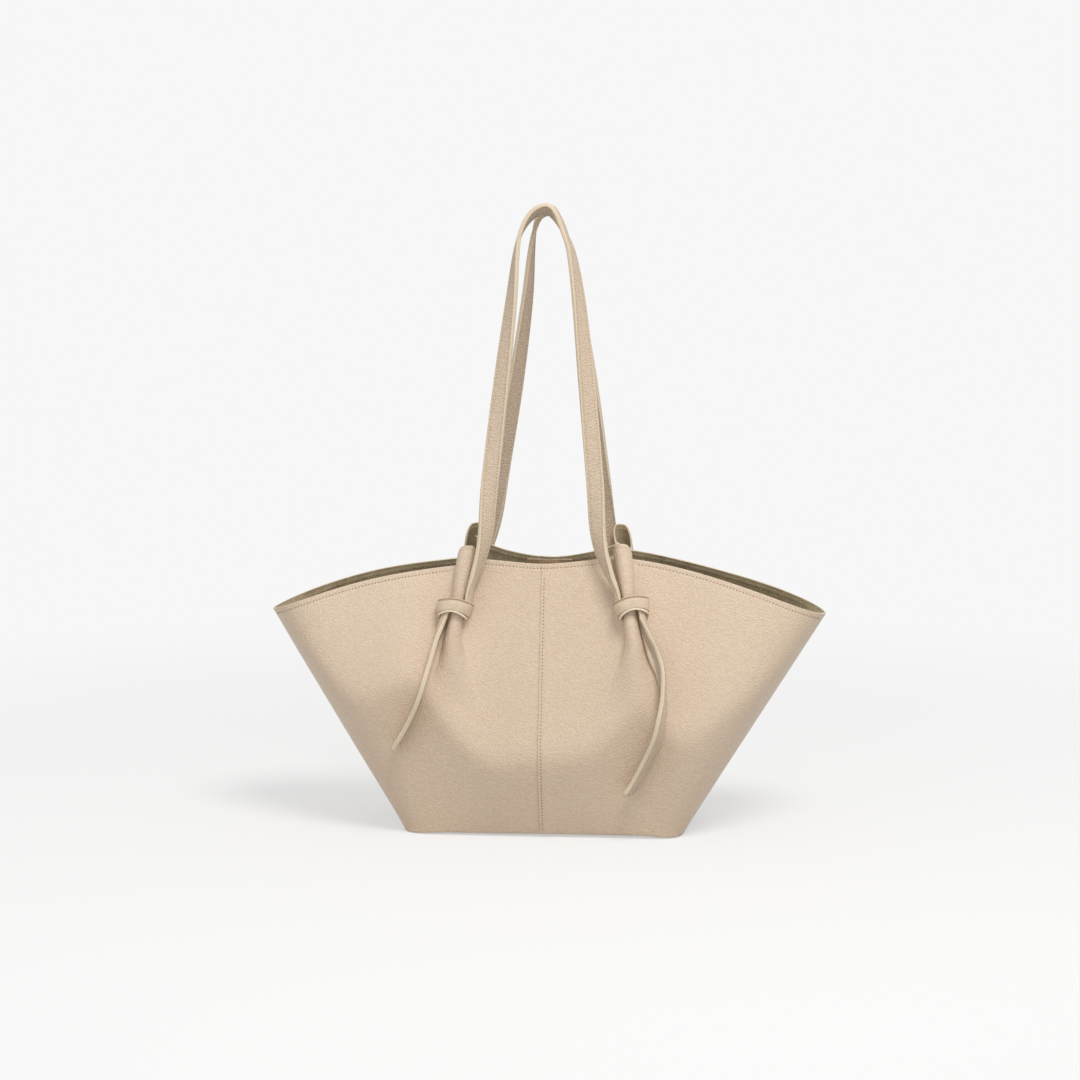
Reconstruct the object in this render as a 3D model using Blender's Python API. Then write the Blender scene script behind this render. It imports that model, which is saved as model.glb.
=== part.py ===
import math

import bmesh
import bpy
import numpy as np
from mathutils import Matrix, Vector

# Tote bag of soft leather, in metres, +Z up, front towards -Y, origin under the middle of the base.

# Body: two leaning side seams, an arched top edge and a boxed base
BASE_WIDTH = 0.256
BASE_DEPTH = 0.112
SIDE_SPREAD = 0.629
EDGE_HEIGHT = 0.2511
EDGE_RADIUS = 0.5865
EDGE_DIP = 0.0045
MOUTH_DEPTH = 0.072
MOUTH_HEIGHT = 0.250
BELLY_SLOPE = 0.50
SHOULDER_SLOPE = -0.36
BASE_SQUARENESS = 14.0
MOUTH_SQUARENESS = 4.0
BASE_CORNER_POWER = 0.24
MOUTH_CORNER_POWER = 0.60
CORNER_FADE = 0.55
BOTTOM_ROLL = 0.0010
BOTTOM_ROLL_HEIGHT = 0.004
SWELL_START = 0.030
LEATHER = 0.0017
GAP = 0.0003

# Soft swellings of each panel: distance from the middle, height, swell, half width, half height
SWELLINGS = (
    (0.047, 0.092, 0.0050, 0.032, 0.045),
    (0.140, 0.122, 0.0045, 0.036, 0.045),
    (0.090, 0.105, -0.0035, 0.018, 0.040),
)

# Folds: the panels are pinched into a standing loop that a knot holds
LEFT_FOLD_X = 0.0745
RIGHT_FOLD_X = 0.0785
FOLD_LEAN = 0.150
FOLD_LEAN_START = 0.030
FOLD_FADE_HEIGHT = 0.118
FOLD_HALF_WIDTH = 0.020
LOOP_ANGLE = math.radians(128)
LOOP_RADIUS_KNOT = 0.0063
LOOP_RADIUS_TOP = 0.0082
LOOP_DEPTH_KNOT = 0.0130
LOOP_DEPTH_TOP = 0.0150
LOOP_LIFT = 0.0155
LOOP_LIFT_POWER = 1.6
FOLD_SHOULDER = 0.0025
FOLD_SHOULDER_REACH = 0.009
EDGE_SHOULDER_LIFT = 0.0030
EDGE_SHOULDER_REACH = 0.025

# Centre seam: the right panel laps over the left one
LAP_EDGE = 0.0012
LAP_WIDTH = 0.0080
LAP_EASE = 0.004
LAP_STEP = 0.0005

# Base: a tray whose rim stands inside the walls, and a stiffening board
TRAY_LEATHER = 0.0016
TRAY_RIM = 0.008
BOARD_THICKNESS = 0.0018
BOARD_CLEARANCE = 0.0008

# Straps: two plies, sewn back to back
STRAP_WIDTH = 0.0150
PLY = 0.0018
STRAP_ROOT_WIDTH = 0.0062
STRAP_ROOT_TAPER = 0.048
STRAP_COLUMNS = 3
HANDLE_RISE = 0.3393
BACK_CROWN_DROP = 0.0008
BACK_CROWN_ASIDE = 0.0016
HANDLE_HALF_GAP = 0.0003
HANDLE_STATIONS = 24
CROWN_CROWDING = 1.7

# Each handle turns about its own line until, at the crown, its lining looks forward under it
CROWN_TURN = math.radians(124)
FRONT_TWIST_LENGTH = 0.250
BACK_TWIST_LENGTH = 0.330

# Each handle's two legs: shares of the root's distance from the middle, and of the rise from it
FRONT_LEGS = {
    -1: ((0.828, 0.130), (0.754, 0.290), (0.612, 0.540), (0.481, 0.760),
         (0.419, 0.885), (0.348, 0.944), (0.189, 0.987)),
    1: ((0.778, 0.130), (0.703, 0.290), (0.580, 0.540), (0.458, 0.760),
        (0.350, 0.885), (0.234, 0.944), (0.114, 0.987)),
}
BACK_LEGS = {
    -1: ((0.855, 0.140), (0.754, 0.300), (0.604, 0.540), (0.436, 0.760),
         (0.336, 0.885), (0.244, 0.944), (0.121, 0.985)),
    1: ((0.818, 0.140), (0.683, 0.300), (0.463, 0.540), (0.294, 0.760),
        (0.228, 0.885), (0.183, 0.944), (0.105, 0.985)),
}

# Knots: a band around the fold, the foot of the handle and the head of the tail
KNOT_HEIGHT = 0.2095
BAND_HEIGHT = 0.0135
BAND_THICKNESS = 0.0032
BAND_SQUARENESS = 3.2
BAND_STEPS = 20
FOOT_WIDTH = 0.0058
FOOT_FRONT = 0.0042
FOOT_BACK = 0.0028
FOOT_BITE = 0.0011
HANDLE_AXIS_RISE = 0.0055
HANDLE_AXIS_FORWARD = 0.0020
HANDLE_AXIS_ASIDE = 0.0005
CRADLE_WALL = 0.0012
CRADLE_DEPTH = 0.0040
CRADLE_WIDTH = 0.0048
CRADLE_ANGLES = (-90, -65, -40, -20)
TAIL_AXIS_DROP = 0.0040
TAIL_ROOT_WIDTH = 0.0070
TAIL_ROOT_TAPER = 0.035
TAIL_STATIONS = 12

# Shares of the half thickness at which a rounded end is drawn
END_SHARES = (0.55, 0.92)

# Tails: how far out from the fold, how far below the root, and the turn of the strap in degrees
LEFT_TAIL_LINE = (
    (0.0090, 0.000, 0),
    (0.0170, 0.018, 0),
    (0.0245, 0.042, 4),
    (0.0330, 0.070, 6),
    (0.0440, 0.095, 4),
    (0.0555, 0.116, 0),
)
RIGHT_TAIL_LINE = (
    (0.0115, 0.000, 10),
    (0.0175, 0.014, 28),
    (0.0265, 0.032, 30),
    (0.0310, 0.052, 4),
    (0.0305, 0.074, -14),
    (0.0250, 0.104, -26),
    (0.0110, 0.135, -26),
    (0.0000, 0.156, -22),
)
TAIL_CLEARANCE = 0.0013
TAIL_SOFTNESS = 0.0012

# Closure: leather facings that carry a magnetic snap under the middle of the top edge
PATCH_WIDTH = 0.042
PATCH_HEIGHT = 0.030
PATCH_TOP_MARGIN = 0.0015
PATCH_LEATHER = 0.0012
SNAP_DIAMETER = 0.018
SNAP_HEIGHT = 0.0032
SNAP_METAL = 0.0006
SNAP_BORE = 0.0066
STUD_CLEARANCE = 0.0004
WASHER_THICKNESS = 0.0008
WASHER_DIAMETER = 0.016
WASHER_HOLE = 0.0064
SNAP_SIDES = 24
BULGE_REACH = 0.0050
PATCH_ROWS = 6
PATCH_COLUMNS = 8

# Rows of each panel, as shares of its height, and columns
ROWS = (0.0, 0.012, 0.09, 0.20, 0.31, 0.42, 0.52, 0.61, 0.70, 0.78, 0.84, 0.90, 0.95, 1.0)
SIDE_STRIP = 0.002
WING_COLUMNS = 9
LOOP_COLUMNS = 12
MIDDLE_COLUMNS = 4
LOOP_SAMPLES = 24
CURVE_STEPS = 12
SETTLING_STEPS = 12

PLY_OFFSET = GAP / 2
STRAP_HALF = PLY_OFFSET + PLY

# Each ply's name, and the offsets of its faces from the strap's middle
PLIES = (
    ("outer", PLY_OFFSET, STRAP_HALF),
    ("lining", -PLY_OFFSET, -STRAP_HALF),
)


def clear_scene():
    for old in list(bpy.data.objects):
        bpy.data.objects.remove(old)


def ease(start, end, value):
    share = min(max((value - start) / (end - start), 0.0), 1.0)
    return share * share * (3 - 2 * share)


def mix(a, b, share):
    return a + (b - a) * share


def soft_larger(a, b, softness):
    return max(a, b) + softness * math.log(1 + math.exp(-abs(a - b) / softness))


# Shape of the bag

def half_width(z):
    return BASE_WIDTH / 2 + SIDE_SPREAD * z


def belly(z):
    t = z / MOUTH_HEIGHT
    start = (2 * t**3 - 3 * t**2 + 1) * BASE_DEPTH / 2
    end = (3 * t**2 - 2 * t**3) * MOUTH_DEPTH / 2
    rise = (t**3 - 2 * t**2 + t) * BELLY_SLOPE * MOUTH_HEIGHT
    fall = (t**3 - t**2) * SHOULDER_SLOPE * MOUTH_HEIGHT
    return start + end + rise + fall


def swelling(x, z):
    total = 0.0
    for middle, height, swell, width, tall in SWELLINGS:
        total += swell * math.exp(-((abs(x) - middle) / width)**2 - ((z - height) / tall)**2)
    return total * ease(0.0, SWELL_START, z)


def wall(x, z):
    share = min(abs(x) / half_width(z), 1.0)
    level = min(max(z / MOUTH_HEIGHT, 0.0), 1.0)**CORNER_FADE
    squareness = mix(BASE_SQUARENESS, MOUTH_SQUARENESS, level)
    corner = mix(BASE_CORNER_POWER, MOUTH_CORNER_POWER, level)
    fullness = max(1.0 - share**squareness, 0.0)**corner
    roll = BOTTOM_ROLL * max(1.0 - z / BOTTOM_ROLL_HEIGHT, 0.0)**2
    return max((belly(z) - roll) * fullness + swelling(x, z) * fullness, 0.0)


def edge_arc(x):
    return EDGE_HEIGHT - x * x / (2 * EDGE_RADIUS)


def fold_x(side, z):
    foot = RIGHT_FOLD_X if side > 0 else LEFT_FOLD_X
    risen = max(z - KNOT_HEIGHT + FOLD_LEAN_START, 0.0)
    return foot + FOLD_LEAN * (FOLD_LEAN_START - risen)


def pinch(z):
    return ease(FOLD_FADE_HEIGHT, KNOT_HEIGHT - BAND_HEIGHT / 2, z)


def loop_radius(z):
    return mix(LOOP_RADIUS_KNOT, LOOP_RADIUS_TOP, ease(KNOT_HEIGHT, EDGE_HEIGHT, z))


def loop_depth(z):
    return mix(LOOP_DEPTH_KNOT, LOOP_DEPTH_TOP, ease(KNOT_HEIGHT, EDGE_HEIGHT, z))


def fold_reach(z):
    return mix(FOLD_HALF_WIDTH, loop_radius(z) * math.sin(LOOP_ANGLE), pinch(z))


def shoulder(distance, z):
    return FOLD_SHOULDER * pinch(z) * math.exp(-max(distance, 0.0) / FOLD_SHOULDER_REACH)


def top_height(side, x, turn=None):
    foot = fold_x(side, EDGE_HEIGHT)
    if turn is None:
        away = max(abs(abs(x) - foot) - fold_reach(EDGE_HEIGHT), 0.0)
        lift = EDGE_SHOULDER_LIFT * math.exp(-away / EDGE_SHOULDER_REACH)
        dip = EDGE_DIP * ease(foot, 0.0, abs(x)) if abs(x) < foot else 0.0
        return edge_arc(x) + lift - dip
    rise = 0.5 * (1 + math.cos(math.pi * abs(turn)**LOOP_LIFT_POWER))
    return edge_arc(foot) + EDGE_SHOULDER_LIFT + (LOOP_LIFT - EDGE_SHOULDER_LIFT) * rise


def loop_point(side, turn, z):
    # A point on the fold's outer face; turn runs from -1 to 1 across it, outer side first
    strength = pinch(z)
    radius = loop_radius(z)
    angle = LOOP_ANGLE * turn
    flat = FOLD_HALF_WIDTH * turn
    across = mix(flat, radius * math.sin(angle), strength)
    full = (math.cos(angle) - math.cos(LOOP_ANGLE)) / (1 - math.cos(LOOP_ANGLE))
    middle = fold_x(side, z)
    x = middle - across
    base = mix(wall(x, z), wall(middle, z), strength) + shoulder(0.0, z)
    return side * x, -(base + strength * loop_depth(z) * full), z


def surface_depth(side, x, z):
    # How far out the panel reaches at this place, fold included
    distance = abs(x) - fold_x(side, z)
    depth = wall(x, z) + shoulder(abs(distance) - fold_reach(z), z)
    turns = [-1 + 2 * step / LOOP_SAMPLES for step in range(LOOP_SAMPLES + 1)]
    points = [loop_point(side, turn, z) for turn in turns]
    for a, b in zip(points, points[1:]):
        low, high = sorted((side * a[0], side * b[0]))
        if low <= abs(x) <= high:
            depth = max(depth, -a[1], -b[1])
    return depth


def plain_point(side, x, z):
    distance = abs(abs(x) - fold_x(side, z)) - fold_reach(z)
    return x, -(wall(x, z) + shoulder(distance, z)), z


def lap(side, x, z):
    # The right panel's edge stands proud of the left one by a leather's thickness
    if side < 0:
        return 0.0
    under_edge = LAP_WIDTH - LAP_EDGE
    slope = (wall(x, z + BOTTOM_ROLL_HEIGHT) - wall(x, z)) / BOTTOM_ROLL_HEIGHT
    proud = (LEATHER + GAP) * math.hypot(1.0, slope)
    return proud * ease(under_edge + LAP_EASE, under_edge + LAP_STEP, x)


def panel_columns(side):
    columns = [("side", 0.0), ("side", 1.0)]
    for step in range(1, WING_COLUMNS):
        columns.append(("wing", math.cos(step / WING_COLUMNS * math.pi / 2)))
    for step in range(LOOP_COLUMNS + 1):
        columns.append(("loop", -1 + 2 * step / LOOP_COLUMNS))
    for step in range(1, MIDDLE_COLUMNS):
        columns.append(("middle", 1 - step / MIDDLE_COLUMNS))
    under_edge = LAP_WIDTH - LAP_EDGE
    if side > 0:
        seam = (under_edge + LAP_EASE, under_edge + LAP_STEP, under_edge, -LAP_EDGE)
    else:
        seam = (LAP_EDGE + LAP_EASE, LAP_EDGE, -under_edge)
    return columns + [("seam", x) for x in seam]


def section_point(side, kind, value, z):
    # A point of the panel's outer face in the level section at this height
    if kind == "loop":
        return loop_point(side, value, z)
    foot = fold_x(side, z)
    reach = fold_reach(z)
    x = value
    if kind == "wing":
        x = mix(foot + reach, half_width(z), value)
    if kind == "middle":
        x = mix(LAP_WIDTH + LAP_EASE, foot - reach, value)
    if kind == "side":
        # The last strip beside the side seam runs straight back to the middle of the bag
        x = half_width(z)
        near = wall(x * (1 - SIDE_STRIP), z)
        return side * x, -mix(GAP / 2, near, value), z
    return plain_point(side, side * x, z)


def panel_point(side, kind, value, share):
    # The same point at a share of the panel's height in that column
    z = share * EDGE_HEIGHT
    if kind == "loop":
        z = share * top_height(side, 0.0, value)
    else:
        for _ in range(SETTLING_STEPS):
            z = share * top_height(side, section_point(side, kind, value, z)[0])
    x, y, z = section_point(side, kind, value, z)
    return x, y - lap(side, side * x, z), z


# Blender helpers

def material(name, colour, roughness, metallic=0.0):
    made = bpy.data.materials.new(name)
    made.use_nodes = True
    shader = made.node_tree.nodes["Principled BSDF"]
    shader.inputs["Base Color"].default_value = (*colour, 1.0)
    shader.inputs["Roughness"].default_value = roughness
    shader.inputs["Metallic"].default_value = metallic
    return made


def place(name, bm, finish, smooth=True, origin=None):
    mesh = bpy.data.meshes.new(name)
    if origin is not None:
        bmesh.ops.translate(bm, verts=bm.verts, vec=-Vector(origin))
    bm.to_mesh(mesh)
    bm.free()
    if smooth:
        mesh.shade_smooth()
        mesh.set_sharp_from_angle(angle=math.radians(40))
    made = bpy.data.objects.new(name, mesh)
    made.data.materials.append(finish)
    if origin is not None:
        made.location = origin
    bpy.context.collection.objects.link(made)
    return made


def grid_mesh(rows):
    bm = bmesh.new()
    made = [[bm.verts.new(point) for point in row] for row in rows]
    for lower, upper in zip(made, made[1:]):
        for i in range(len(lower) - 1):
            bm.faces.new((lower[i], lower[i + 1], upper[i + 1], upper[i]))
    return bm


def turn_back(bm, back):
    if back:
        bmesh.ops.rotate(bm, verts=bm.verts, cent=(0, 0, 0), matrix=Matrix.Rotation(math.pi, 3, "Z"))


def turned(point, back):
    return (-point[0], -point[1], point[2]) if back else tuple(point)


def thicken(made, thickness):
    wall_modifier = made.modifiers.new("Leather", "SOLIDIFY")
    wall_modifier.thickness = thickness
    wall_modifier.offset = -1
    wall_modifier.use_even_offset = True


def cut(made, cutter):
    slit = made.modifiers.new("Slits", "BOOLEAN")
    slit.operation = "DIFFERENCE"
    slit.solver = "EXACT"
    slit.object = cutter


def join(made, other):
    union = made.modifiers.new("Union", "BOOLEAN")
    union.operation = "UNION"
    union.solver = "EXACT"
    union.object = other


def as_cutter(made):
    made.hide_render = True
    made.display_type = "WIRE"
    return made


def smooth_line(points, shares):
    # A Catmull-Rom curve through the points, read at these shares of its length
    data = [np.array(p, float) for p in points]
    data = [2 * data[0] - data[1]] + data + [2 * data[-1] - data[-2]]
    dense = []
    for i in range(1, len(data) - 2):
        p0, p1, p2, p3 = data[i - 1:i + 3]
        for step in range(CURVE_STEPS):
            t = step / CURVE_STEPS
            dense.append(0.5 * (2 * p1 + (p2 - p0) * t + (2 * p0 - 5 * p1 + 4 * p2 - p3) * t**2
                                + (3 * p1 - p0 - 3 * p2 + p3) * t**3))
    dense.append(data[-2])
    dense = np.array(dense)
    steps = np.linalg.norm(np.diff(dense[:, :3], axis=0), axis=1)
    along = np.concatenate([[0.0], np.cumsum(steps)])
    wanted = np.array(shares) * along[-1]
    columns = [np.interp(wanted, along, dense[:, k]) for k in range(dense.shape[1])]
    return np.stack(columns, axis=1)


def strip_mesh(stations):
    # stations: centre, unit width direction, unit face direction, width, near and far face offset
    bm = bmesh.new()
    sides = []
    for centre, across, outward, width, near, far in stations:
        rows = []
        for offset in (near, far):
            places = [step / STRAP_COLUMNS - 0.5 for step in range(STRAP_COLUMNS + 1)]
            rows.append([bm.verts.new(centre + across * width * v + outward * offset) for v in places])
        sides.append(rows)
    for lower, upper in zip(sides, sides[1:]):
        for low, high in zip(lower, upper):
            # Both faces are split along the same diagonals, so that a twisted ply keeps its thickness
            for i in range(STRAP_COLUMNS):
                bm.faces.new((low[i], low[i + 1], high[i + 1]))
                bm.faces.new((low[i], high[i + 1], high[i]))
        for end in (0, -1):
            bm.faces.new((lower[0][end], lower[1][end], upper[1][end], upper[0][end]))
    for near_row, far_row in (sides[0], sides[-1]):
        bm.faces.new(near_row + far_row[::-1])
    bmesh.ops.recalc_face_normals(bm, faces=bm.faces)
    return bm


# The knots' place

def knot_frame(side):
    low = Vector(loop_middle(side, KNOT_HEIGHT))
    high = Vector(loop_middle(side, EDGE_HEIGHT))
    up = (high - low).normalized()
    across = Vector((side, 0, 0))
    across = (across - across.dot(up) * up).normalized()
    inward = up.cross(across).normalized() * side
    frame = Matrix((across, inward, up)).transposed().to_4x4()
    frame.translation = low
    return frame


def loop_middle(side, z):
    x, y, _ = loop_point(side, 0.0, z)
    return x, y + loop_depth(z) / 2, z


def band_sizes():
    half = LOOP_RADIUS_KNOT + GAP + FOOT_WIDTH
    front = LOOP_DEPTH_KNOT / 2 + 2 * GAP
    behind = LOOP_DEPTH_KNOT / 2 + LEATHER + FOLD_SHOULDER + 2 * GAP
    return half, front, behind


def band_outline(grow, steps):
    half, front, behind = band_sizes()
    middle = (behind - front) / 2
    deep = (behind + front) / 2
    outline = []
    for step in range(steps):
        angle = 2 * math.pi * step / steps
        c, s = math.cos(angle), math.sin(angle)
        x = (half + grow) * math.copysign(abs(c)**(2 / BAND_SQUARENESS), c)
        y = (deep + grow) * math.copysign(abs(s)**(2 / BAND_SQUARENESS), s)
        outline.append((x, middle + y))
    return outline


def band_mesh(frame, clearance):
    inner = band_outline(-clearance, BAND_STEPS)
    outer = band_outline(BAND_THICKNESS + clearance, BAND_STEPS)
    tall = BAND_HEIGHT / 2 + clearance
    bm = bmesh.new()
    rings = []
    for outline, z in ((outer, -tall), (outer, tall), (inner, tall), (inner, -tall)):
        rings.append([bm.verts.new(frame @ Vector((x, y, z))) for x, y in outline])
    for k in range(4):
        for i in range(BAND_STEPS):
            j = (i + 1) % BAND_STEPS
            bm.faces.new((rings[k][i], rings[k][j], rings[(k + 1) % 4][j], rings[(k + 1) % 4][i]))
    bmesh.ops.recalc_face_normals(bm, faces=bm.faces)
    return bm


def block_mesh(frame, low, high):
    bm = bmesh.new()
    bmesh.ops.create_cube(bm, size=1.0)
    size = [h - l for l, h in zip(low, high)]
    middle = [(h + l) / 2 for l, h in zip(low, high)]
    bmesh.ops.scale(bm, verts=bm.verts, vec=size)
    bmesh.ops.translate(bm, verts=bm.verts, vec=middle)
    bmesh.ops.transform(bm, verts=bm.verts, matrix=frame)
    bmesh.ops.recalc_face_normals(bm, faces=bm.faces)
    return bm


def root_points():
    # Where the handle leaves each knot and the tail leaves it, in the front's frame
    roots = {}
    for side in (-1, 1):
        frame = knot_frame(side)
        reach = LOOP_RADIUS_KNOT + 2 * GAP + STRAP_ROOT_WIDTH / 2
        rise = BAND_HEIGHT / 2 + HANDLE_AXIS_RISE
        roots["handle", side] = frame @ Vector((-reach - HANDLE_AXIS_ASIDE, -HANDLE_AXIS_FORWARD, rise))
        drop = BAND_HEIGHT / 2 + TAIL_AXIS_DROP
        roots["tail", side] = frame @ Vector((LOOP_RADIUS_KNOT + GAP + FOOT_WIDTH / 2, 0.0, -drop))
    for kind in ("handle", "tail"):
        y = (roots[kind, -1].y + roots[kind, 1].y) / 2
        z = (roots[kind, -1].z + roots[kind, 1].z) / 2
        for side in (-1, 1):
            roots[kind, side].y = y
            roots[kind, side].z = z
    return roots


# Pieces

def make_panels(finish, cutters):
    for back in (False, True):
        face = "back" if back else "front"
        for side in (-1, 1):
            rows = []
            for share in ROWS:
                row = [panel_point(side, kind, value, share) for kind, value in panel_columns(side)]
                rows.append(row if side < 0 else row[::-1])
            bm = grid_mesh(rows)
            turn_back(bm, back)
            hand = "left" if (side < 0) != back else "right"
            made = place(f"{face}_{hand}_panel", bm, finish)
            thicken(made, LEATHER)
            cut(made, cutters[back, side])


def base_outline(inset, z):
    # The walls' section at this height, drawn in by the inset
    front = []
    for side in (-1, 1):
        columns = panel_columns(side)
        columns = columns[:-1] if side > 0 else columns[1:-1]
        columns = [c for c in columns if c[0] != "loop" or c[1] in (-1, -0.5, 0, 0.5, 1)]
        points = [section_point(side, kind, value, z) for kind, value in columns]
        front += points if side < 0 else points[::-1]
    outline = [Vector((x, y)) for x, y, _ in front] + [Vector((-x, -y)) for x, y, _ in front]
    count = len(outline)
    drawn = []
    for i, point in enumerate(outline):
        tangent = outline[(i + 1) % count] - outline[i - 1]
        inward = Vector((-tangent.y, tangent.x)).normalized()
        drawn.append(point + inward * inset)
    return drawn


def ring_solid(loops):
    # A closed body from stacked closed outlines, with the first and last filled
    bm = bmesh.new()
    rings = [[bm.verts.new((p.x, p.y, z)) for p in outline] for outline, z in loops]
    for lower, upper in zip(rings, rings[1:]):
        count = len(lower)
        for i in range(count):
            j = (i + 1) % count
            bm.faces.new((lower[i], lower[j], upper[j], upper[i]))
    bm.faces.new(rings[0][::-1])
    bm.faces.new(rings[-1])
    bmesh.ops.recalc_face_normals(bm, faces=bm.faces)
    return bm


def make_base(leather_finish, board_finish):
    slope = (wall(0.0, TRAY_RIM) - wall(0.0, 0.0)) / TRAY_RIM
    outside = LEATHER * math.hypot(1.0, slope) + GAP
    inside = outside + TRAY_LEATHER
    tray = ring_solid([
        (base_outline(outside, 0.0), 0.0),
        (base_outline(outside, TRAY_RIM), TRAY_RIM),
        (base_outline(inside, TRAY_RIM), TRAY_RIM),
        (base_outline(inside, TRAY_LEATHER), TRAY_LEATHER),
    ])
    place("base_panel", tray, leather_finish)
    low = TRAY_LEATHER + GAP
    board = ring_solid([
        (base_outline(inside + BOARD_CLEARANCE, low), low),
        (base_outline(inside + BOARD_CLEARANCE, low), low + BOARD_THICKNESS),
    ])
    place("base_board", board, board_finish)


def handle_stations(roots, back):
    # Both handles are worked out as if in front; the back one's left leg is the right one seen from the front
    left = roots["handle", -1]
    right = roots["handle", 1]
    legs = BACK_LEGS if back else FRONT_LEGS
    climb = HANDLE_RISE - BACK_CROWN_DROP if back else HANDLE_RISE
    aside = -BACK_CROWN_ASIDE if back else 0.0
    twist_length = BACK_TWIST_LENGTH if back else FRONT_TWIST_LENGTH
    tilt = CROWN_TURN - math.pi / 2
    crown_y = -(STRAP_WIDTH / 2 * math.cos(tilt) + STRAP_HALF * math.sin(tilt) + HANDLE_HALF_GAP)
    points = []
    for side, root in ((-1, left), (1, right)):
        leg = [(root.x, root.y, root.z)]
        for out, share in legs[side]:
            leg.append((root.x * out, mix(root.y, crown_y, share), root.z + climb * share))
        points.append(leg)
    crown = (aside, crown_y, left.z + climb)
    rising = [0.5 * (1 - (1 - k / HANDLE_STATIONS)**CROWN_CROWDING) for k in range(HANDLE_STATIONS + 1)]
    shares = rising + [1 - share for share in rising[-2::-1]]
    line = smooth_line(points[0] + [crown] + points[1][::-1], shares)
    top = left.z + climb
    stations = []
    for i, centre in enumerate(line):
        before = line[max(i - 1, 0)]
        after = line[min(i + 1, len(line) - 1)]
        tangent = Vector(after - before).normalized()
        out_y = (Vector((0, 1, 0)) - tangent.y * tangent).normalized()
        in_plane = tangent.cross(out_y).normalized()
        turn = CROWN_TURN * (1 - math.sqrt(min(max(top - centre[2], 0.0) / twist_length, 1.0)))
        outward = (in_plane * math.sin(turn) - out_y * math.cos(turn)).normalized()
        across = outward.cross(tangent).normalized()
        rise = min(centre[2] - left.z, centre[2] - right.z)
        width = mix(STRAP_ROOT_WIDTH, STRAP_WIDTH, ease(0.0, STRAP_ROOT_TAPER, rise))
        stations.append((Vector(centre), across, outward, width))
    return stations


def rounded_ends(stations, near, far):
    # Adds the rounded feet at the joint's axis, where the ply thins along a circle about it
    built = [(c, a, o, w, near, far) for c, a, o, w in stations]
    feet = []
    for first in (True, False):
        centre, across, outward, width = stations[0] if first else stations[-1]
        other = stations[1][0] if first else stations[-2][0]
        away = centre - other
        away /= math.hypot(away.y, away.z)
        across = Vector((math.copysign(1, across.x), 0, 0))
        level = Vector((0, -away.z, away.y))
        level *= math.copysign(1, level.dot(outward))
        foot = [(centre, across, level, width, near, far)]
        for share in END_SHARES:
            limit = STRAP_HALF * math.sqrt(1 - share * share)
            thinned = math.copysign(min(abs(far), limit), far)
            foot.append((centre + away * STRAP_HALF * share, across, level, width, near, thinned))
        feet.append(foot)
    return feet[0][::-1] + built[1:-1] + feet[1]


def make_handles(finish, roots):
    for back in (False, True):
        face = "back" if back else "front"
        axis = turned((0.0, roots["handle", -1].y, roots["handle", -1].z), back)
        stations = handle_stations(roots, back)
        for name, near, far in PLIES:
            bm = strip_mesh(rounded_ends(stations, near, far))
            turn_back(bm, back)
            place(f"{face}_handle_{name}", bm, finish, origin=axis)


def tail_stations(side, root):
    line = LEFT_TAIL_LINE if side < 0 else RIGHT_TAIL_LINE
    foot = fold_x(side, KNOT_HEIGHT)
    first = abs(root.x) - foot
    points = []
    for out, drop, turn in line:
        x = foot + out + (first - line[0][0]) * (1 - ease(0.0, TAIL_ROOT_TAPER, drop))
        z = root.z - drop
        points.append((side * x, 0.0, z, turn))
    stations = []
    data = smooth_line(points, [k / (TAIL_STATIONS - 1) for k in range(TAIL_STATIONS)])
    for x, _, z, turn in data:
        drop = root.z - z
        width = mix(TAIL_ROOT_WIDTH, STRAP_WIDTH, ease(0.0, TAIL_ROOT_TAPER, drop))
        lean = math.radians(turn)
        reach = width / 2 * math.cos(lean) + STRAP_HALF * abs(math.sin(lean))
        inner_x = abs(x) - width / 2 * math.sin(lean)
        depth = max(surface_depth(side, inner_x + step, z) for step in (-STRAP_HALF, 0.0, STRAP_HALF))
        y = -soft_larger(-root.y, depth + reach + TAIL_CLEARANCE, TAIL_SOFTNESS)
        stations.append([Vector((x, y, z)), lean, width])
    built = []
    for i, (centre, lean, width) in enumerate(stations):
        before = stations[max(i - 1, 0)][0]
        after = stations[min(i + 1, len(stations) - 1)][0]
        tangent = (after - before).normalized()
        across = Vector((math.sin(lean) * side, -math.cos(lean), 0))
        across = (across - across.dot(tangent) * tangent).normalized()
        outward = tangent.cross(across).normalized()
        if outward.x * side < 0:
            outward = -outward
        built.append((centre, across, outward, width))
    return built


def tail_head(stations):
    # The head narrows to a round edge about the joint's axis
    centre, across, outward, width = stations[0]
    away = (centre - stations[1][0]).normalized()
    head = []
    for share in END_SHARES[::-1]:
        head.append((centre + away * width / 2 * share, across, outward, width * math.sqrt(1 - share**2)))
    return head + stations


def make_tails(finish, roots):
    for back in (False, True):
        face = "back" if back else "front"
        for side in (-1, 1):
            root = roots["tail", side]
            hand = "left" if (side < 0) != back else "right"
            stations = tail_head(tail_stations(side, root))
            for name, near, far in PLIES:
                bm = strip_mesh([(c, a, o, w, near, far) for c, a, o, w in stations])
                turn_back(bm, back)
                place(f"{face}_{hand}_tail_{name}", bm, finish, origin=turned(root, back))


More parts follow.
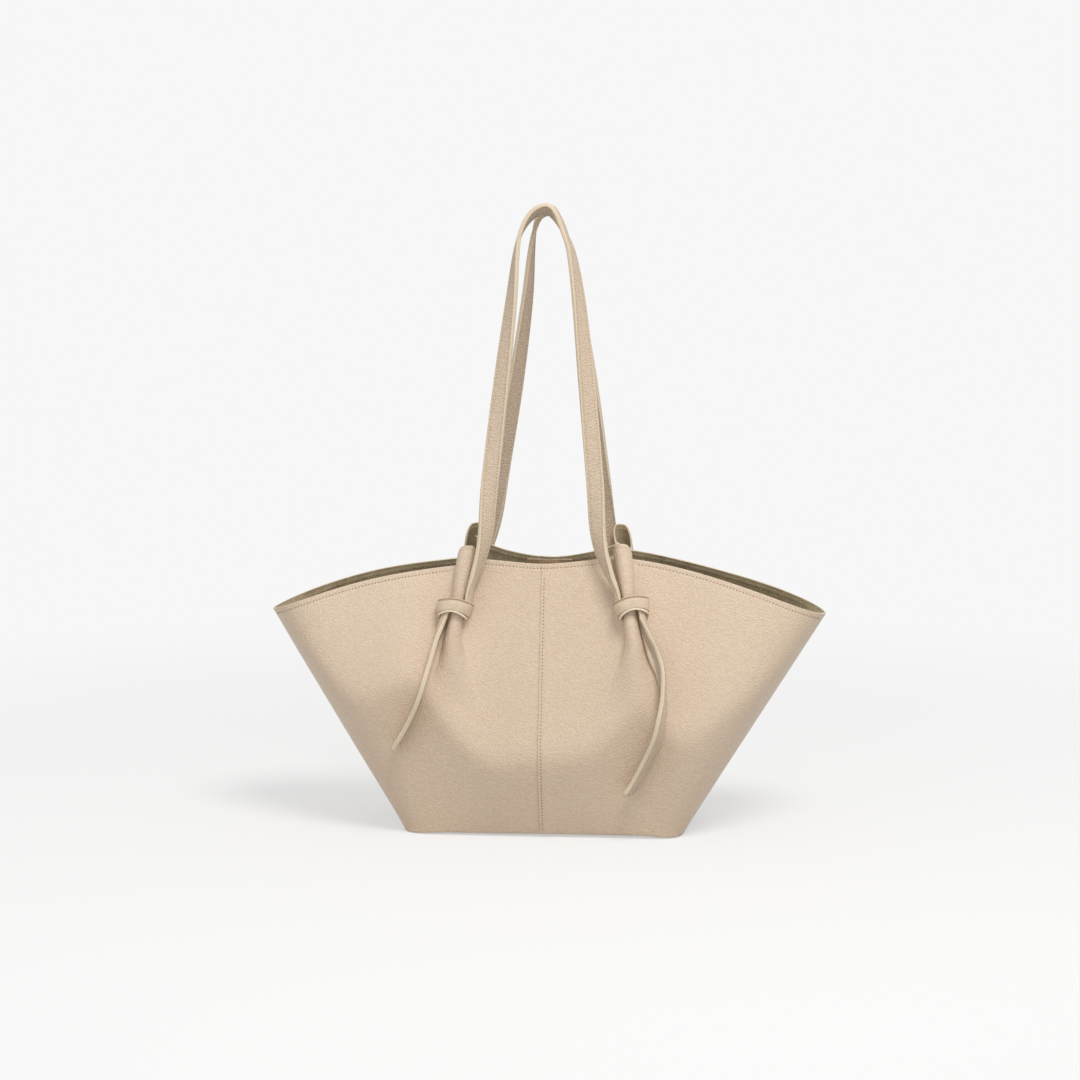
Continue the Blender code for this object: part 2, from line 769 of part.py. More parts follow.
def foot_stub(root):
    # A cradle under the handle's round foot, open towards the outside
    radius = STRAP_HALF + GAP
    profile = []
    for degrees in CRADLE_ANGLES:
        angle = math.radians(degrees)
        profile.append((radius * math.cos(angle), radius * math.sin(angle)))
    floor = -HANDLE_AXIS_RISE - CRADLE_DEPTH
    profile.append((radius + CRADLE_WALL, profile[-1][1]))
    profile.append((radius + CRADLE_WALL, floor))
    profile.append((0.0, floor))
    bm = bmesh.new()
    rings = []
    for x in (-CRADLE_WIDTH / 2, CRADLE_WIDTH / 2):
        rings.append([bm.verts.new((root.x + x, root.y + y, root.z + z)) for y, z in profile])
    count = len(profile)
    for i in range(count):
        j = (i + 1) % count
        bm.faces.new((rings[0][i], rings[0][j], rings[1][j], rings[1][i]))
    bm.faces.new(rings[0][::-1])
    bm.faces.new(rings[1])
    bmesh.ops.recalc_face_normals(bm, faces=bm.faces)
    return bm


def make_knots(finish, roots):
    cutters = {}
    tall = BAND_HEIGHT / 2 - GAP
    inner = LOOP_RADIUS_KNOT + GAP
    outer = inner + FOOT_WIDTH + FOOT_BITE
    for back in (False, True):
        face = "back" if back else "front"
        for side in (-1, 1):
            hand = "left" if (side < 0) != back else "right"
            name = f"{face}_{hand}_knot"
            frame = knot_frame(side)
            pieces = []
            bm = band_mesh(frame, 0.0)
            turn_back(bm, back)
            knot = place(name, bm, finish)
            pieces.append(block_mesh(frame, (-outer, -FOOT_FRONT, -tall), (-inner, FOOT_BACK, tall)))
            pieces.append(block_mesh(frame, (inner, -FOOT_FRONT, -tall), (outer, FOOT_BACK, tall)))
            pieces.append(foot_stub(roots["handle", side]))
            for number, piece in enumerate(pieces):
                turn_back(piece, back)
                join(knot, as_cutter(place(f"{name}_filling_{number}", piece, finish)))
            slit = band_mesh(frame, GAP)
            turn_back(slit, back)
            cutters[back, side] = as_cutter(place(f"{name}_slits", slit, finish))
    return cutters


def patch_frame():
    # The middle of the facing: a point on the wall's inner face, and the direction into the bag
    z = top_height(1, 0.0) - PATCH_TOP_MARGIN - PATCH_HEIGHT / 2
    here = Vector((0.0, -wall(0.0, z), z))
    step = 0.002
    upward = (Vector((0.0, -wall(0.0, z + step), z + step)) - here).normalized()
    into = Vector((1, 0, 0)).cross(upward).normalized()
    if into.y < 0:
        into = -into
    frame = Matrix((Vector((1, 0, 0)), upward, into)).transposed().to_4x4()
    frame.translation = here + into * LEATHER
    return frame


def facing_mesh(into):
    rows = []
    top = top_height(1, 0.0) - PATCH_TOP_MARGIN
    washer_room = WASHER_THICKNESS + GAP
    for j in range(PATCH_ROWS + 1):
        z = top - PATCH_HEIGHT * (1 - j / PATCH_ROWS)
        row = []
        for i in range(PATCH_COLUMNS + 1):
            x = PATCH_WIDTH * (i / PATCH_COLUMNS - 0.5)
            away = math.hypot(x, z - top + PATCH_HEIGHT / 2)
            standoff = GAP + washer_room * ease(SNAP_DIAMETER / 2 + BULGE_REACH, SNAP_DIAMETER / 2, away)
            point = Vector((x, -wall(x, z), z)) + into * (LEATHER + standoff)
            row.append(point)
        rows.append(row)
    return grid_mesh(rows)


def turned_mesh(profile, frame):
    # profile: radius and height pairs round the closed section, or from axis to axis
    bm = bmesh.new()
    verts = [bm.verts.new((radius, 0.0, height)) for radius, height in profile]
    edges = [bm.edges.new(pair) for pair in zip(verts, verts[1:])]
    if profile[0][0] > 0:
        edges.append(bm.edges.new((verts[-1], verts[0])))
    bmesh.ops.spin(bm, geom=verts + edges, cent=(0, 0, 0), axis=(0, 0, 1), angle=2 * math.pi,
                   steps=SNAP_SIDES, use_merge=True)
    bmesh.ops.remove_doubles(bm, verts=bm.verts, dist=0.000005)
    bmesh.ops.transform(bm, verts=bm.verts, matrix=frame)
    bmesh.ops.recalc_face_normals(bm, faces=bm.faces)
    return bm


def make_closure(leather_finish, metal_finish, magnet_finish):
    frame = patch_frame()
    into = frame.to_3x3() @ Vector((0, 0, 1))
    washer_low = GAP
    washer_high = washer_low + WASHER_THICKNESS
    seat = washer_high + GAP + PATCH_LEATHER + GAP
    radius = SNAP_DIAMETER / 2
    bore = SNAP_BORE / 2
    stud = bore - STUD_CLEARANCE
    magnet_outer = radius - SNAP_METAL - GAP
    magnet_inner = bore + SNAP_METAL
    cup = [(bore, seat), (radius, seat), (radius, seat + SNAP_HEIGHT),
           (magnet_outer - SNAP_METAL, seat + SNAP_HEIGHT),
           (magnet_outer - SNAP_METAL, seat + SNAP_HEIGHT - SNAP_METAL),
           (radius - SNAP_METAL, seat + SNAP_HEIGHT - SNAP_METAL),
           (radius - SNAP_METAL, seat + SNAP_METAL), (bore, seat + SNAP_METAL)]
    magnet_low = seat + SNAP_METAL + GAP
    magnet_high = seat + SNAP_HEIGHT - SNAP_METAL - GAP
    magnet = [(magnet_inner, magnet_low), (magnet_outer, magnet_low),
              (magnet_outer, magnet_high), (magnet_inner, magnet_high)]
    plate = [(0.0, seat), (radius, seat), (radius, seat + SNAP_METAL * 2),
             (stud, seat + SNAP_METAL * 2), (stud, seat + SNAP_HEIGHT), (0.0, seat + SNAP_HEIGHT)]
    washer = [(WASHER_HOLE / 2, washer_low), (WASHER_DIAMETER / 2, washer_low),
              (WASHER_DIAMETER / 2, washer_high), (WASHER_HOLE / 2, washer_high)]
    pieces = (("snap_socket", cup, metal_finish, True), ("snap_magnet", magnet, magnet_finish, True),
              ("socket_washer", washer, metal_finish, True), ("snap_stud", plate, metal_finish, False),
              ("stud_washer", washer, metal_finish, False))
    for name, profile, finish, back in pieces:
        bm = turned_mesh(profile, frame)
        turn_back(bm, back)
        place(name, bm, finish)
    for back in (False, True):
        bm = facing_mesh(into)
        turn_back(bm, back)
        made = place("back_snap_patch" if back else "front_snap_patch", bm, leather_finish)
        thicken(made, PATCH_LEATHER)


def main():
    clear_scene()
    grain = material("Grain leather", (0.62, 0.50, 0.38), 0.55)
    strap = material("Strap leather", (0.60, 0.48, 0.36), 0.52)
    facing = material("Facing leather", (0.40, 0.29, 0.19), 0.60)
    board = material("Stiffening board", (0.22, 0.19, 0.15), 0.85)
    metal = material("Snap metal", (0.80, 0.66, 0.42), 0.28, 1.0)
    magnet = material("Magnet", (0.10, 0.10, 0.11), 0.45, 0.6)
    roots = root_points()
    cutters = make_knots(strap, roots)
    make_panels(grain, cutters)
    make_base(grain, board)
    make_handles(strap, roots)
    make_tails(strap, roots)
    make_closure(facing, metal, magnet)
    for (kind, side), root in roots.items():
        print(kind, side, [round(v, 5) for v in root])


main()
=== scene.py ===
from math import copysign, cos, exp, hypot, log, pi, radians, sin, sqrt

import bmesh
import bpy
import numpy as np
from mathutils import Matrix, Vector


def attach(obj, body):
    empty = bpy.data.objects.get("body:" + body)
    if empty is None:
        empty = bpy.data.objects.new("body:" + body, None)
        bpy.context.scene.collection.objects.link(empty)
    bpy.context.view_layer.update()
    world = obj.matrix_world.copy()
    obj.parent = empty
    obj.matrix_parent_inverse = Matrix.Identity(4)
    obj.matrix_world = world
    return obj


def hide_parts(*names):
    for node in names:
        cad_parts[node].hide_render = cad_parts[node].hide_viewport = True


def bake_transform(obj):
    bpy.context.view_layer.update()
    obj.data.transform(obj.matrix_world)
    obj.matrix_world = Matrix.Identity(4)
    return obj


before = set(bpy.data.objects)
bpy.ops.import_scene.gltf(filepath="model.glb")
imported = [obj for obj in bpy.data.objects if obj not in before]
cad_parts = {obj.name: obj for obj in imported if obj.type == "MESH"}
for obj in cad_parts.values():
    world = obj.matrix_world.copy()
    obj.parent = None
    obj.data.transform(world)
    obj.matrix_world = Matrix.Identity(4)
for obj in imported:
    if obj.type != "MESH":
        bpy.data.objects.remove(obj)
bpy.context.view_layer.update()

print("frame loaded:", len(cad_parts), "nodes")

# Tote bag of soft leather, in metres, front towards -Y

# What the whole body shares
body = {
    "baseWidth": 0.256,
    "baseDepth": 0.112,
    "sideSpread": 0.629,
    "edgeHeight": 0.2511,
    "edgeRadius": 0.5865,
    "mouthDepth": 0.072,
    "mouthHeight": 0.25,
    # the walls spread from the base up to a soft bend and close in above it
    "bendDepth": 0.0815,
    "bend": 0.0032,
    "bendHeight": 0.079,
    "bendClimb": 0.09,  # how much higher the bend is at the sides
    # the bend runs in waves: place, height and width of each
    "bendWaves": (
        (-0.045, -0.0135, 0.03),
        (-0.112, 0.026, 0.03),
        (-0.172, -0.02, 0.03),
        (0.038, -0.004, 0.03),
        (0.086, 0.023, 0.024),
        (0.135, -0.032, 0.032),
        (0.185, -0.022, 0.03),
    ),
    "baseSquareness": 14.0,
    "mouthSquareness": 4.0,
    "baseCornerPower": 0.24,
    "mouthCornerPower": 0.6,
    "cornerFade": 0.55,
    "leather": 0.0017,
    # the lower edge is a little higher between the corners, on the left and on the right
    "footArch": (0.0022, 0.0034),
    "footArchHeight": 0.03,
}

# The standing fold that each knot holds
fold = {
    "leftX": 0.0745,
    "rightX": 0.0785,
    "lean": 0.15,
    "leanStart": 0.03,
    "fadeHeight": 0.118,
    "halfWidth": 0.02,
    "angle": radians(128),
    "radiusKnot": 0.0063,
    "radiusTop": 0.0082,
    "depthKnot": 0.013,
    "depthTop": 0.015,
    "liftPower": 1.6,
    "shoulder": 0.0025,
    "shoulderReach": 0.009,
    "knotHeight": 0.2095,
    "bandHeight": 0.0135,
}

# How each panel's top edge departs from the arc: out at the side, beside the fold and over it
edgeParts = ("outer", "outerReach", "inner", "innerReach", "lift", "dip", "climb")
topEdge = {name: dict(zip(edgeParts, values)) for name, values in {
    "front_left": (-0.0025, 0.06, 0.0022, 0.012, 0.0155, 0.0058, 0.0),
    "front_right": (0.005, 0.1, 0.006, 0.02, 0.019, 0.0058, 0.0025),
    "back_left": (-0.0052, 0.065, 0.013, 0.015, 0.0255, 0.0092, 0.0),
    "back_right": (0.003, 0.05, 0.0075, 0.014, 0.025, 0.0092, 0.0025),
}.items()}


def placeName(back, side):
    # Left and right are as seen from the front, also at the back
    return ("back_" if back else "front_") + ("left" if (side < 0) != back else "right")


# Both faces' halves: at the back or not, and left or right of its own middle
halves = [(back, side) for back in (False, True) for side in (-1, 1)]


def ease(start, end, value):
    share = min(max((value - start) / (end - start), 0.0), 1.0)
    return share * share * (3 - 2 * share)


def between(a, b, share):
    return a + (b - a) * share


def hump(away, width):
    return exp(-(away / width)**2)


def softLarger(a, b, softness):
    return max(a, b) + softness * log(1 + exp(-abs(a - b) / softness))


# Shape of the walls

def halfWidth(z):
    return body["baseWidth"] / 2 + body["sideSpread"] * z


def bendHeight(x):
    waves = sum(height * hump(x - middle, wide) for middle, height, wide in body["bendWaves"])
    return body["bendHeight"] + body["bendClimb"] * ease(0.0, body["mouthHeight"], abs(x)) + waves


def belly(x, z):
    base, mouth, top = body["baseDepth"] / 2, body["mouthDepth"] / 2, body["mouthHeight"]
    turn = bendHeight(x)
    low = between(base, body["bendDepth"], z / turn)
    high = between(mouth, body["bendDepth"], (top - z) / (top - turn))
    return -softLarger(-low, -high, body["bend"])


def wall(x, z):
    share = min(abs(x) / halfWidth(z), 1.0)
    level = min(max(z / body["mouthHeight"], 0.0), 1.0)**body["cornerFade"]
    squareness = between(body["baseSquareness"], body["mouthSquareness"], level)
    corner = between(body["baseCornerPower"], body["mouthCornerPower"], level)
    fullness = max(1.0 - share**squareness, 0.0)**corner
    return max(belly(x, z) * fullness, 0.0)


def edgeArc(x):
    return body["edgeHeight"] - x * x / (2 * body["edgeRadius"])


def foldX(side, z):
    foot = fold["rightX"] if side > 0 else fold["leftX"]
    risen = max(z - fold["knotHeight"] + fold["leanStart"], 0.0)
    return foot + fold["lean"] * (fold["leanStart"] - risen)


def pinch(z):
    return ease(fold["fadeHeight"], fold["knotHeight"] - fold["bandHeight"] / 2, z)


def loopSize(kind, z):
    # The fold's loop opens from its knot up to its edge
    level = ease(fold["knotHeight"], body["edgeHeight"], z)
    return between(fold[kind + "Knot"], fold[kind + "Top"], level)


def foldReach(z):
    return between(fold["halfWidth"], loopSize("radius", z) * sin(fold["angle"]), pinch(z))


def shoulder(distance, z):
    return fold["shoulder"] * pinch(z) * exp(-max(distance, 0.0) / fold["shoulderReach"])


def topHeight(edge, side, x, turn=None):
    foot = foldX(side, body["edgeHeight"])
    reach = foldReach(body["edgeHeight"])
    if turn is not None:
        rise = 0.5 * (1 + cos(pi * abs(turn)**fold["liftPower"]))
        beside = between(edge["outer"], edge["inner"], (turn + 1) / 2)
        return edgeArc(foot - reach * turn) + beside + (edge["lift"] - beside) * rise
    away = max(abs(abs(x) - foot) - reach, 0.0)
    if abs(x) < foot:
        beside = edge["inner"] * exp(-away / edge["innerReach"])
        return edgeArc(x) + beside - edge["dip"] * ease(foot, 0.0, abs(x))
    beside = edge["outer"] * hump(away, edge["outerReach"])
    far = away / (halfWidth(body["mouthHeight"]) - foot - reach)
    return edgeArc(x) + beside + edge["climb"] * far


def loopPoint(side, turn, z):
    # A point on the fold's outer face; turn runs from -1 to 1 across it, outer side first
    strength = pinch(z)
    radius = loopSize("radius", z)
    angle = fold["angle"] * turn
    across = between(fold["halfWidth"] * turn, radius * sin(angle), strength)
    full = (cos(angle) - cos(fold["angle"])) / (1 - cos(fold["angle"]))
    middle = foldX(side, z)
    x = middle - across
    base = between(wall(side * x, z), wall(side * middle, z), strength) + shoulder(0.0, z)
    return side * x, -(base + strength * loopSize("depth", z) * full), z


def plainPoint(side, x, z):
    distance = abs(abs(x) - foldX(side, z)) - foldReach(z)
    return x, -(wall(x, z) + shoulder(distance, z)), z


def surfaceDepth(side, x, z):
    distance = abs(x) - foldX(side, z)
    depth = wall(side * abs(x), z) + shoulder(abs(distance) - foldReach(z), z)
    points = [loopPoint(side, -1 + step / 12, z) for step in range(25)]
    for a, b in zip(points, points[1:]):
        low, high = sorted((side * a[0], side * b[0]))
        if low <= abs(x) <= high:
            depth = max(depth, -a[1], -b[1])
    return depth


# Blender helpers

def addObject(name, data):
    made = bpy.data.objects.new(name, data)
    bpy.context.scene.collection.objects.link(made)
    return made


def finishMesh(name, bm, keys, smooth=True):
    mesh = bpy.data.meshes.new(name)
    bm.to_mesh(mesh)
    bm.free()
    for key in keys:
        mesh.materials.append(finishes[key])
    if smooth:
        mesh.shade_smooth()
    return addObject(name, mesh)


def settle(piece, node):
    # The piece stands for its CAD node and moves with the bag
    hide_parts(node)
    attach(piece, "bag")


def turnBack(bm, back):
    # The back is the front turned about the vertical axis
    if back:
        half = Matrix.Rotation(pi, 3, "Z")
        bmesh.ops.rotate(bm, verts=bm.verts, cent=(0, 0, 0), matrix=half)


def turned(point, back):
    return Vector((-point[0], -point[1], point[2])) if back else Vector(point)


def squared(way, to):
    # The direction made square to another one
    return (way - way.dot(to) * to).normalized()


def alongAt(points, i):
    return Vector(points[min(i + 1, len(points) - 1)] - points[max(i - 1, 0)])


def axesAt(place, *ways):
    axes = Matrix(ways).transposed().to_4x4()
    axes.translation = place
    return axes


def shapedGrid(columns, rows, place):
    # A grid whose vertex in column i and row j goes to place(i, j)
    bm = bmesh.new()
    bmesh.ops.create_grid(bm, x_segments=columns - 1, y_segments=rows - 1, size=0.5)
    for vert in bm.verts:
        i = round((vert.co.x + 0.5) * (columns - 1))
        j = round((vert.co.y + 0.5) * (rows - 1))
        vert.co = place(i, j)
    return bm


def solidify(piece, thickness, inner, rim):
    made = piece.modifiers.new("Leather", "SOLIDIFY")
    made.thickness = thickness
    made.offset = -1
    made.use_even_offset = True
    made.material_offset = inner
    made.material_offset_rim = rim
    return made


def softEdges(piece, width, degrees=55):
    made = piece.modifiers.new("Soft edges", "BEVEL")
    made.width = width
    made.segments = 2
    made.limit_method = "ANGLE"
    made.angle_limit = radians(degrees)
    made.material = -1


def smoothLine(points, shares):
    # A Catmull-Rom curve through the points, read at these shares of its length
    data = [np.array(p, float) for p in points]
    data = [2 * data[0] - data[1]] + data + [2 * data[-1] - data[-2]]
    dense = []
    steps = 16
    for i in range(1, len(data) - 2):
        p0, p1, p2, p3 = data[i - 1:i + 3]
        for step in range(steps):
            t = step / steps
            dense.append(0.5 * (2 * p1 + (p2 - p0) * t + (2 * p0 - 5 * p1 + 4 * p2 - p3) * t**2
                                + (3 * p1 - p0 - 3 * p2 + p3) * t**3))
    dense.append(data[-2])
    dense = np.array(dense)
    lengths = np.linalg.norm(np.diff(dense[:, :3], axis=0), axis=1)
    along = np.concatenate([[0.0], np.cumsum(lengths)])
    wanted = np.array(shares) * along[-1]
    columns = [np.interp(wanted, along, column) for column in dense.T]
    return np.stack(columns, axis=1), along[-1]


# Shader maths: a socket that adds its Math nodes from Python expressions

def feed(node, sockets):
    # Each socket is linked or set to a plain value; a numbered one is _0, _1 and so on
    for key, value in sockets.items():
        target = node.inputs[int(key[1:]) if key[0] == "_" else key]
        if isinstance(value, Wire):
            value.tree.links.new(value.socket, target)
        else:
            target.default_value = value


class Wire:
    def __init__(self, tree, socket=None):
        self.tree = tree
        self.socket = socket

    def node(self, kind, settings=None, **sockets):
        # Adds a node and gives its first output
        made = self.tree.nodes.new(kind)
        for key, value in (settings or {}).items():
            setattr(made, key, value)
        feed(made, sockets)
        return Wire(self.tree, made.outputs[0])

    def at(self, output):
        # Another output of the same node
        return Wire(self.tree, self.socket.node.outputs[output])

    def maths(self, operation, first, second, clamp=False):
        settings = {"operation": operation, "use_clamp": clamp}
        return self.node("ShaderNodeMath", settings, _0=first, _1=second)

    def __add__(self, other):
        return self.maths("ADD", self, other)

    def __sub__(self, other):
        return self.maths("SUBTRACT", self, other)

    def __rsub__(self, other):
        return self.maths("SUBTRACT", other, self)

    def __mul__(self, other):
        return self.maths("MULTIPLY", self, other)

    __radd__ = __add__
    __rmul__ = __mul__

    def clamped(self):
        return self.maths("ADD", self, 0.0, True)

    def ranged(self, low, high):
        settings = {"interpolation_type": "SMOOTHSTEP"}
        return self.node("ShaderNodeMapRange", settings, _0=self, _1=low, _2=high)

    def mixColours(self, first, second):
        # From first to second as this value goes from 0 to 1
        mixed = self.node("ShaderNodeMix", {"data_type": "RGBA"}, _0=self, _6=first, _7=second)
        return mixed.at(2)


def startMaterial(name):
    made = bpy.data.materials.new(name)
    made.use_nodes = True
    place = Wire(made.node_tree).node("ShaderNodeTexCoord").at("Object")
    return made, made.node_tree.nodes["Principled BSDF"], place


def noiseAt(place, scale, detail=3.0, rough=0.55):
    return place.node("ShaderNodeTexNoise", {}, Vector=place, Scale=scale, Detail=detail,
                      Roughness=rough)


def vectors(operation, first, **sockets):
    return first.node("ShaderNodeVectorMath", {"operation": operation}, _0=first, **sockets)


def shifted(place, amount, scale):
    # The place pushed about by noise, so that a pattern on it is less regular
    push = vectors("SUBTRACT", noiseAt(place, scale, 2.0, 0.5).at("Color"), _1=(0.5, 0.5, 0.5))
    return vectors("ADD", place, _1=vectors("SCALE", push, Scale=amount))


def bumpOf(height, strength, distance):
    return height.node("ShaderNodeBump", {}, Strength=strength, Distance=distance, Height=height)


def colour(red, green, blue, paintedShading=1.0):
    # From the screen's values, 0 to 255, to the shader's, times a factor of painted shading:
    # below 1 painted shade, above 1 painted light
    values = [c / 255 / 12.92 if c <= 10 else ((c / 255 + 0.055) / 1.055)**2.4
              for c in (red, green, blue)]
    return [value * paintedShading for value in values] + [1.0]


leatherLook = {
    "light": (221, 200, 177),
    "deep": (215, 193, 169),
    # the hollows between the pebbles are painted this darker colour: painted shade
    "pitShade": (184, 162, 136),
    "pitShadeShare": 0.2,
    "roughness": 0.44,
    "pebble": 560.0,  # cells in a metre
    "fine": 1900.0,
    "patches": 11.0,
    "small": 240.0,
    "loose": 0.0005,  # how far the cells are pushed out of their order
    "bumpDistance": 0.00052,
    "bumpStrength": 0.68,
    "sheen": 0.08,
    "specular": 0.35,
}

suedeLook = {
    "light": (199, 182, 150),
    "deep": (150, 135, 107),
    "cloud": 70.0,
    "fluff": 900.0,
}


def grainLeather(name, changes=None, paintedShading=1.0):
    look = {**leatherLook, **(changes or {})}
    made, shader, place = startMaterial(name)
    light, deep, pitShade = [colour(*look[key], paintedShading) for key in ("light", "deep", "pitShade")]
    loose = shifted(place, look["loose"], 300.0)
    pebbles = place.node("ShaderNodeTexVoronoi", {"feature": "SMOOTH_F1"}, Vector=loose,
                         Scale=look["pebble"], Smoothness=0.3)
    finer = place.node("ShaderNodeTexVoronoi", {}, Vector=loose, Scale=look["pebble"] * 2.3)
    fine = noiseAt(place, look["fine"], 2.0)
    patches = noiseAt(place, look["patches"], 2.0)
    small = noiseAt(place, look["small"])
    height = 1.0 - pebbles.ranged(0.1, 0.66) * 0.8 - finer * 0.08 + fine * 0.08
    tone = (patches * 0.35 + small * 0.65).ranged(0.36, 0.66)
    # painted shade: the hollows between the pebbles are darkened
    pitShading = pebbles.ranged(0.4, 0.7) * look["pitShadeShare"]
    feed(shader, {
        "Base Color": pitShading.mixColours(tone.mixColours(deep, light), pitShade),
        "Roughness": (small * 0.1 + (look["roughness"] - 0.05)).clamped(),
        "Normal": bumpOf(height, look["bumpStrength"], look["bumpDistance"]),
        "Specular IOR Level": look["specular"],
        "Sheen Weight": look["sheen"],
    })
    return made


def suedeSide(name):
    made, shader, place = startMaterial(name)
    cloud = noiseAt(shifted(place, 0.004, 60.0), suedeLook["cloud"], 5.0, 0.65)
    fluff = noiseAt(place, suedeLook["fluff"], 3.0, 0.7)
    tone = (cloud * 0.45 + fluff * 0.55).ranged(0.36, 0.64)
    feed(shader, {
        "Base Color": tone.mixColours(colour(*suedeLook["deep"]), colour(*suedeLook["light"])),
        "Roughness": 0.92,
        "Normal": bumpOf(fluff, 0.8, 0.0005),
        "Specular IOR Level": 0.15,
        "Sheen Weight": 0.25,
    })
    return made


def cutEdge(name):
    made, shader, place = startMaterial(name)
    fibre = noiseAt(place, 1500.0, 3.0, 0.7)
    tone = fibre.ranged(0.35, 0.7)
    feed(shader, {
        "Base Color": tone.mixColours(colour(212, 194, 168), colour(229, 213, 188)),
        "Roughness": 0.62,
        "Normal": bumpOf(fibre, 0.3, 0.0002),
    })
    return made


def plainFinish(name, low, high, roughness, scale=700.0, metallic=0.0, strength=0.2):
    made, shader, place = startMaterial(name)
    speckle = noiseAt(place, scale)
    feed(shader, {
        "Base Color": speckle.ranged(0.35, 0.68).mixColours(colour(*low), colour(*high)),
        "Roughness": speckle * 0.12 + (roughness - 0.06),
        "Normal": bumpOf(speckle, strength, 0.0002),
        "Metallic": metallic,
    })
    return made


finishes = {
    "grain": grainLeather("Grain leather"),
    # The strap, its lining and the knot band are the grain leather scaled in brightness: the
    # strap a little darker and its lining darker still, painted shade; the knot band a little
    # lighter, painted light
    "strap": grainLeather("Strap leather", {"pebble": 640.0, "bumpStrength": 0.95}, 0.95),
    "lining": grainLeather("Strap lining", {"pebble": 640.0, "bumpStrength": 0.8}, 0.84),
    "band": grainLeather("Knot leather", {"pebble": 680.0, "bumpStrength": 0.6}, 1.03),
    "suede": suedeSide("Raw suede side"),
    "edge": cutEdge("Cut edge"),
    "thread": plainFinish("Waxed thread", (206, 186, 158), (218, 198, 170), 0.5, 3000.0),
    # the needle holes are small dark mounds: painted shade in the holes, paler on the straps
    "hole": plainFinish("Stitch hole shade", (132, 110, 83), (150, 127, 99), 0.8, 3000.0),
    "faintHoleShade": plainFinish("Strap stitch hole shade", (176, 155, 129), (188, 167, 140), 0.8, 3000.0),
    "facing": plainFinish("Facing leather", (168, 142, 112), (186, 161, 130), 0.6),
    "rim": plainFinish("Pale rim", (230, 213, 187), (243, 228, 204), 0.55, 1500.0),
    # the dark line along the knot band's edges: painted shade in the crease
    "crease": plainFinish("Crease shade line", (146, 123, 95), (162, 138, 109), 0.7, 3000.0),
    "board": plainFinish("Base board", (96, 84, 68), (122, 108, 90), 0.85, 300.0),
    "metal": plainFinish("Pale gold plating", (214, 190, 142), (232, 212, 168), 0.3, 220.0,
                         1.0, 0.03),
    "magnet": plainFinish("Magnet", (58, 58, 62), (78, 78, 82), 0.5, 700.0, 0.6),
}
print("materials made:", len(finishes))


# Stitches: a short thread between slanted needle holes, each hole a small dark mound of painted
# shade

stitch = {
    "pitch": 0.0031,
    # length, width and height
    "thread": (0.0018, 0.0007, 0.0005),
    "hole": (0.0022, 0.00105, 0.00035),
    "slant": 62,  # degrees between a hole and its row
    "probe": 0.0006,  # how far to both sides the row's direction is read
}


def smallMound(name, size, kind):
    bm = bmesh.new()
    bmesh.ops.create_uvsphere(bm, u_segments=6, v_segments=4, radius=0.5,
                              matrix=Matrix.Diagonal((*size, 1.0)))
    for face in bm.faces:
        face.material_index = kind
    mesh = bpy.data.meshes.new(name)
    bm.to_mesh(mesh)
    bm.free()
    return mesh


mounds = (smallMound("thread_shape", stitch["thread"], 0),
          smallMound("hole_shade_shape", stitch["hole"], 1))


def sewRow(bm, places, outs, start, end):
    # places: points along the row in the leather's face; outs: directions away from the leather
    points = np.array([tuple(p) for p in places])
    faceways = np.array([tuple(o) for o in outs])
    along = np.concatenate([[0.0], np.cumsum(np.linalg.norm(np.diff(points, axis=0), axis=1))])

    def read(at, table):
        return Vector([np.interp(at, along, column) for column in table.T])

    room = along[-1] - start - end
    count = int(room / stitch["pitch"])
    first = start + (room - count * stitch["pitch"]) / 2
    for number in range(count):
        for kind, offset in ((0, 0.5), (1, 1.0)):
            here = first + (number + offset) * stitch["pitch"]
            out = read(here, faceways).normalized()
            behind, ahead = [read(here + step * stitch["probe"], points) for step in (-1, 1)]
            run = squared((ahead - behind).normalized(), out)
            if kind:
                run = Matrix.Rotation(radians(stitch["slant"]), 3, out) @ run
            turn = axesAt(read(here, points), run, out.cross(run), out)
            mounds[kind].transform(turn)
            bm.from_mesh(mounds[kind])
            mounds[kind].transform(turn.inverted())


def sewnPiece(name, rows, back, slotName, start, end, hole="hole"):
    bm = bmesh.new()
    for places, outs in rows:
        sewRow(bm, places, outs, start, end)
    turnBack(bm, back)
    piece = finishMesh(name, bm, ("thread", hole))
    return piece


# Panels: each half of the front and of the back is one sheet, thickened inwards

panel = {
    "wingColumns": 60,
    "loopColumns": 40,
    "middleColumns": 28,
    "rows": 92,
    "lapEdge": 0.0012,  # the right panel's raw edge lies this far past the middle
    "lapWidth": 0.008,
    "lapSide": 0.004,  # from the lap to the first of the middle's columns
    "lapEase": 0.0035,
    # the last columns of the right and of the left panel, from the middle
    "rightSeam": (0.0045, 0.0032, 0.0022, 0.0014, 0.0006, 0.0),
    "leftSeam": (0.009, 0.006, 0.004, 0.002, 0.0),
    "lapProud": 0.0012,
    "skived": 0.55,  # the share of the thickness left under the lap
    "sideStrip": 0.002,
    "wingStart": 0.012,  # from the side seam to the first column, as a share of the wing
    # the upper rows, down from the top edge: close where the stitches sink the leather
    "drops": (0.0, 0.001, 0.002, 0.003, 0.0036, 0.0042, 0.0048, 0.0054, 0.0064, 0.008),
    "edgeRow": 0.0042,  # from the top edge down to its stitches
    "seamRow": 0.0026,  # from the lap's edge to its stitches
    "groove": 0.0003,
    "grooveWidth": 0.001,
    "bevel": 0.0004,
}
underEdge = panel["lapWidth"] - panel["lapEdge"]  # where the left panel ends, under the right one


